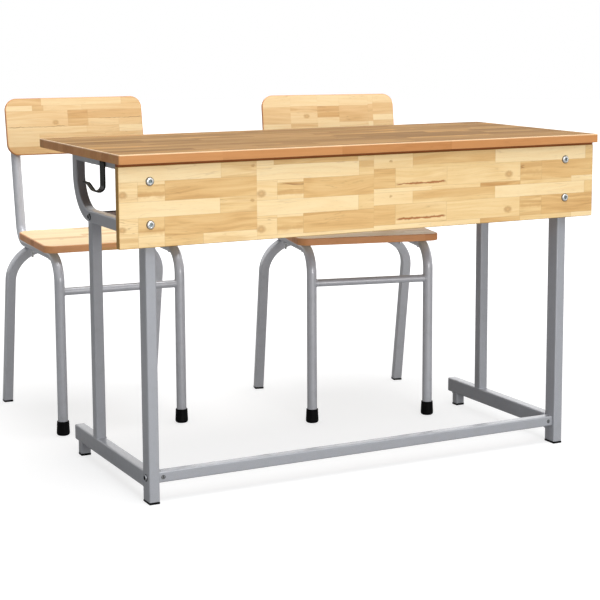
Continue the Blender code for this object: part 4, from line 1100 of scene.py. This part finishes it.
backrests = {
    "left_chair": {"wood": "back", "zones": [(1, [
        (0.020, [(-0.09, 0.62, 0.4), (0.13, 0.15, 0), (1, 0.5, 0)]),
        (0.014, [(-0.115, 0.08, 0), (-0.085, 0.62, 0), (0.02, 0.3, 0), (1, 0.42, 0)]),
        (0.023, [(-0.02, 0.42, 0), (0.035, 0.78, 0.5), (1, 0.62, 0)]),
        (0.020, [(-0.02, 0.34, 0), (0.035, 0.68, 0), (0.12, 0.36, 0), (1, 0.5, 0)]),
        (0.018, [(0.03, 0.28, 0), (0.12, 0.44, 0), (1, 0.06, 0)]),
        (0.034, [(-0.1, 0.3, 0), (0.08, 0.46, 0.3), (1, 0.52, 0)]),
        (1.0, [(-0.02, 0.64, 0.5), (1, 0.34, 0)])])]},
    "right_chair": {"wood": "rightBack", "zones": [
        (-0.108, [(0.033, [(1, 0.15, 0)]), (0.047, [(1, 0.5, 0)]), (1.0, [(1, 0.2, 0)])]),
        (-0.032, [(0.031, [(1, 0.12, 0)]), (0.017, [(1, 0.56, 0.8)]), (0.031, [(1, 0.3, 0)]),
                  (0.009, [(1, 0.68, 0)]), (1.0, [(1, 0.4, 0)])]),
        (0.030, [(0.032, [(1, 0.12, 0)]), (0.031, [(1, 0.78, 0.5)]), (0.029, [(1, 0.22, 0)]),
                 (1.0, [(1, 0.45, 0)])]),
        (0.113, [(0.031, [(1, 0.15, 0)]), (0.045, [(1, 0.6, 0.2)]), (0.015, [(1, 0.3, 0)]),
                 (1.0, [(1, 0.5, 0)])]),
        (0.127, [(0.028, [(1, 0.15, 0)]), (0.048, [(1, 0.6, 0)]), (0.014, [(1, 0.02, 0)]),
                 (1.0, [(1, 0.5, 0)])]),
        (1.0, [(0.025, [(1, 0.25, 0)]), (0.032, [(1, 0.56, 0)]), (0.016, [(1, 0.05, 0)]),
               (1.0, [(1, 0.5, 0)])])]},
}
# the way the backrest faces and the way its posts rise, in the chair's own frame
forward = Vector((0, -math.cos(chair["lean"]), math.sin(chair["lean"])))
risingPost = Vector((0, math.sin(chair["lean"]), math.cos(chair["lean"])))


# the chair's own frame, with the floor at zero and y back from the front legs, from where its ferrules stand
def chairPlace(body):
    centres = [sum(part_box(f"{body}_{side}_ferrule"), Vector()) / 2 for side, way in bothSides]
    across = (centres[1] - centres[0]).normalized()
    turn = Matrix.Rotation(math.atan2(across.y, across.x), 4, "Z")
    middle = (centres[0] + centres[1]) / 2
    middle.z = 0
    return Matrix.Translation(middle) @ turn @ Matrix.Translation((0, -chair["legSetback"], 0))


def railOffset(setback):
    share = (setback - chair["legSetback"]) / (chair["postSetback"] - chair["legSetback"])
    return chair["legHalf"] + (chair["postHalf"] - chair["legHalf"]) * share


def postSetback(level):
    return chair["postSetback"] + (level - chair["rail"]) * math.tan(chair["lean"])


def buildChairBoards(piece, body):
    width, depth, thickness = chairSeat["size"]
    seat = shapeBoard(chairSeat["size"], chairSeat["corners"], randomZones(width, depth, *chairSeat["tones"]),
                      chairSeat["arris"], chairSeat["band"])
    bmesh.ops.translate(seat, vec=(0, depth / 2, chairSeat["top"] - thickness / 2), verts=seat.verts)
    piece("Seat", seat, "rubberwood", [wood["board"], wood["seatBand"], wood["arris"]], "seat")

    width, height, thickness = chairBack["size"]
    back = shapeBoard(chairBack["size"], (chairBack["corner"],) * 2, backrests[body]["zones"],
                      chairBack["arris"], chairBack["band"])
    level = chairBack["bottom"] + height * math.cos(chair["lean"]) / 2
    centre = Vector((0, postSetback(level), level)) + forward * (chair["tube"] + touchGap + thickness / 2)
    upright = Matrix.Rotation(math.pi / 2 - chair["lean"], 4, "X")
    bmesh.ops.transform(back, matrix=Matrix.Translation(centre) @ upright, verts=back.verts)
    piece("Backrest", back, "rubberwood", [wood[backrests[body]["wood"]], wood["seatBand"], wood["seatBand"]],
          "backrest")


def buildSideTube(piece, side, way):
    legX, postX = way * chair["legHalf"], way * chair["postHalf"]
    front, rear, rail, end = chair["legSetback"], chair["postSetback"], chair["rail"], chair["postTop"]
    route = [(legX, front, chair["tubeFoot"]), (legX, front, rail), (postX, rear, rail),
             (postX, postSetback(end), end)]
    tube = bendTube((chair["tube"],), route, [chair["knee"], chair["hip"]], xAxis, chair["arris"])
    piece(side.title() + "SideTube", tube, "powder_coat", [brightenedChairPowder], side + "_side_tube")

    sole, rounding = ferrule["sole"], ferrule["rounding"]
    heel = [(sole - rounding * (1 - math.cos(math.radians(a))), rounding * (1 - math.sin(math.radians(a))))
            for a in range(0, 91, 10)]
    foot = turnShape(ferrule["profile"] + heel + ferrule["underside"], (legX, front, 0), zAxis, 48)
    piece(side.title() + "Ferrule", foot, "black_rubber", [rubber], side + "_ferrule")
    cap = turnShape(chair["postCap"], route[3], risingPost, 32)
    piece(side.title() + "PostCap", cap, "black_plastic", [capPlastic])


def buildChairFasteners(piece, side, way):
    under = chair["rail"] - chair["tube"]
    x, y = way * railOffset(stud["setback"]), stud["setback"]
    washer = turnShape(stud["washer"], (x, y, under - stud["washerDrop"]), zAxis, 32)
    nut = hexPrism((x, y, under - stud["nutDrop"]), zAxis, *stud["nut"])
    tail = setAt(threadShape(stud["radius"], stud["tail"]), (x, y, under), -zAxis)
    shank = rodShape(stud["radius"], stud["shank"], (x, y, under))
    piece(side.title() + "SeatStud", joinShapes(washer, nut, tail, shank), "zinc", [zinc],
          side + "_seat_stud")

    at = (way * railOffset(chair["screwSetback"]), chair["screwSetback"], under)
    screw = screwsUp([at], 2 * chair["tube"] + chair["screwPast"])
    piece(side.title() + "SeatScrew", screw, "zinc", [zinc, pitShade, pitShade])

    level = chairBack["bottom"] + chairBack["size"][1] / 2
    post = Vector((way * chair["postHalf"], postSetback(level), level))
    behind = post - forward * (chair["tube"] + touchGap)
    head = setAt(buttonHead(bolts["backrest"]), behind, -forward)
    length = 2 * chair["tube"] + chairBack["screwPast"]
    screw = setAt(threadShape(chairBack["screw"], length), behind, forward)
    piece(side.title() + "BackrestScrew", joinShapes(head, screw), "zinc", [zinc, pitShade, pitShade],
          side + "_backrest_screw")


# the bead round one end of the stretcher, which follows the leg's round side
def stretcherSeam(way):
    ring = bmesh.new()
    section = bmesh.ops.create_circle(ring, cap_ends=False, segments=10, radius=seam["bead"])["verts"]
    bmesh.ops.rotate(ring, cent=(0, 0, 0), matrix=Matrix.Rotation(math.pi / 2, 3, "X"), verts=section)
    bmesh.ops.translate(ring, vec=(chair["stretcher"] + seam["out"], 0, 0), verts=section)
    bmesh.ops.spin(ring, geom=ring.verts[:] + ring.edges[:], cent=(0, 0, 0), axis=zAxis, angle=math.tau,
                   steps=40, use_merge=True)
    setAt(ring, (way * chair["legHalf"], chair["legSetback"], chair["stretcherLevel"]), (-way, 0, 0))
    for vert in ring.verts:
        off = vert.co.y - chair["legSetback"]
        vert.co.x -= way * math.sqrt(max(chair["tube"] ** 2 - off ** 2, 0))
    return ring


def buildRearFrame(piece):
    slope, half, deep = rearFrame["lean"], rearFrame["half"], rearFrame["top"]
    high = chair["rail"] - rearFrame["drop"]
    foot = deep + high * math.tan(slope)
    capLevel = rearFrame["cap"] + touchGap
    low = Vector((0, foot, 0)) - Vector((0, -math.sin(slope), math.cos(slope))) * rearFrame["overrun"]
    route = [(-half, low.y, low.z), (-half, deep, high), (half, deep, high), (half, low.y, low.z)]
    out = Vector((0, math.cos(slope), math.sin(slope)))
    section = (rearFrame["tube"], rearFrame["tube"], rearFrame["corner"])
    shape = bendTube(section, route, [rearFrame["bend"]] * 2, out)
    cut = sliceAt(shape, (0, 0, capLevel), zAxis, clear_inner=True)
    bmesh.ops.holes_fill(shape, edges=onlyEdges(cut["geom_cut"]), sides=0)
    piece("RearFrame", shape, "powder_coat", [brightenedChairPowder], "rear_frame")
    middle, reach = foot - math.tan(slope) * capLevel, rearFrame["tube"] / math.cos(slope) / 2
    wide = rearFrame["capHalf"]
    for side, way in bothSides:
        cap = roundedBox((way * half - wide, middle - reach, 0),
                         (way * half + wide, middle + reach, rearFrame["cap"]), rearFrame["capRounding"])
        piece(side.title() + "RearCap", cap, "black_plastic", [capPlastic], side + "_rear_cap")


def buildChair(body):
    place = chairPlace(body)
    label = body.split("_")[0] + "Chair"

    def piece(name, shape, slot, materials, *replaced):
        makePiece(label + name, shape, body, materials, [f"{body}_{node}" for node in replaced], place)

    buildChairBoards(piece, body)
    for side, way in bothSides:
        buildSideTube(piece, side, way)
        buildChairFasteners(piece, side, way)
    end = Vector((chair["legHalf"] - chair["tube"] * chair["stretcherShare"], 0, 0))
    middle = Vector((0, chair["legSetback"], chair["stretcherLevel"]))
    rail = bendTube((chair["stretcher"],), [middle - end, middle + end], (), yAxis)
    piece("Stretcher", rail, "powder_coat", [brightenedChairPowder], "stretcher")
    buildRearFrame(piece)
    piece("Welds", joinShapes(*(stretcherSeam(way) for side, way in bothSides)), "powder_coat", [brightenedChairPowder])


for body in ("left_chair", "right_chair"):
    buildChair(body)
print("chairs ready")


stage = {"radius": 16.0, "albedo": 0.42, "near": (0.8, 0.7), "far": (2.8, 1.1), "ambient": (0.29, 0.5),
         "mirroredAcross": (0.3, 1.1), "mirroredBehind": (1.3, 1.9)}


# 1 for what is looked at, straight or through glass, and 0 for light that falls on things
def seenOnly(tree):
    path = addNode(tree, "ShaderNodeLightPath").outputs
    return calc(tree, "MAXIMUM", path["Is Camera Ray"], path["Is Transmission Ray"])


# the floor keeps a soft shadow near the object and is white further off; that lift lights nothing
def buildStage():
    shape = bmesh.new()
    bmesh.ops.create_circle(shape, cap_ends=True, segments=96, radius=stage["radius"])
    mesh = meshFrom(shape, "paleFloor")
    floor = addObject("paleFloor", mesh)
    material, tree, shader = startMaterial("paleFloor", Roughness=0.9, Specular_IOR_Level=0.1,
                                           Emission_Color=(1, 1, 1, 1),
                                           Base_Color=(*(stage["albedo"],) * 3, 1))
    (nearAt, nearLift), (farAt, farLift) = stage["near"], stage["far"]
    lift = remap(tree, vectorLength(tree, ownPlace(tree)), nearAt, farAt, nearLift, farLift)
    feed(tree, shader.inputs, Emission_Strength=times(tree, seenOnly(tree), lift))
    mesh.materials.append(material)


# the room gives less light from the left, and what the metal mirrors is brighter on the right and behind
def buildWorld():
    world = bpy.data.worlds.new("paleRoom")
    bpy.context.scene.world = world
    world.use_nodes = True
    tree = world.node_tree
    background = tree.nodes["Background"]
    background.inputs["Color"].default_value = (1, 1, 1, 1)
    parts = separated(tree, addNode(tree, "ShaderNodeTexCoord").outputs["Generated"])
    ambient = remap(tree, parts["X"], -1, 1, *stage["ambient"])
    mirrored = times(tree, remap(tree, parts["X"], -1, 1, *stage["mirroredAcross"]),
                     remap(tree, parts["Y"], -1, 1, *stage["mirroredBehind"]))
    glossy = addNode(tree, "ShaderNodeLightPath").outputs["Is Glossy Ray"]
    strength = calc(tree, "MAXIMUM", ambient, times(tree, glossy, mirrored))
    feed(tree, background.inputs, Strength=calc(tree, "MAXIMUM", strength, seenOnly(tree)))


lamps = {
    "frontKey": {"at": (-0.4, -6.6, 1.0), "to": (0, -0.2, 0.4), "size": 1.8, "power": 130.0,
                 "colour": (1.0, 0.985, 0.96)},
    "topSoft": {"at": (0.2, -0.9, 4.1), "to": (0, -0.1, 0.4), "size": 3.0, "power": 108.0,
                "colour": (1.0, 1.0, 1.0)},
    "frontHigh": {"at": (-0.5, -3.3, 3.6), "to": (0, -0.1, 0.2), "size": 1.6, "power": 44.0,
                  "colour": (0.9, 0.95, 1.0)},
}


def buildLamps():
    for name, spec in lamps.items():
        data = bpy.data.lights.new(name, "AREA")
        data.shape, data.size, data.energy, data.color = "DISK", spec["size"], spec["power"], spec["colour"]
        lamp = addObject(name, data)
        lamp.location = spec["at"]
        lamp.rotation_euler = (Vector(spec["to"]) - Vector(spec["at"])).to_track_quat("-Z", "Y").to_euler()


# one camera, fitted to points and edges that were read in the photo
view = {"at": (-1.7188, -3.5839, 1.0241), "sensor": 36.0, "lens": 95.3595, "shift": (-0.03526, -0.09158),
        "right": (0.8863, -0.4631, -0.0029), "up": (0.0681, 0.1243, 0.9899),
        "back": (-0.4581, -0.8775, 0.1417), "farthest": 100.0}


def buildCamera():
    data = bpy.data.cameras.new("photoView")
    data.sensor_width, data.lens = view["sensor"], view["lens"]
    data.shift_x, data.shift_y = view["shift"]
    data.clip_end = view["farthest"]
    camera = addObject("photoView", data)
    turn = Matrix((view["right"], view["up"], view["back"])).transposed().to_4x4()
    camera.matrix_world = Matrix.Translation(view["at"]) @ turn
    bpy.context.scene.camera = camera


buildStage()
buildWorld()
buildLamps()
buildCamera()
bpy.context.scene.view_settings.view_transform = "Standard"
print("stage ready")
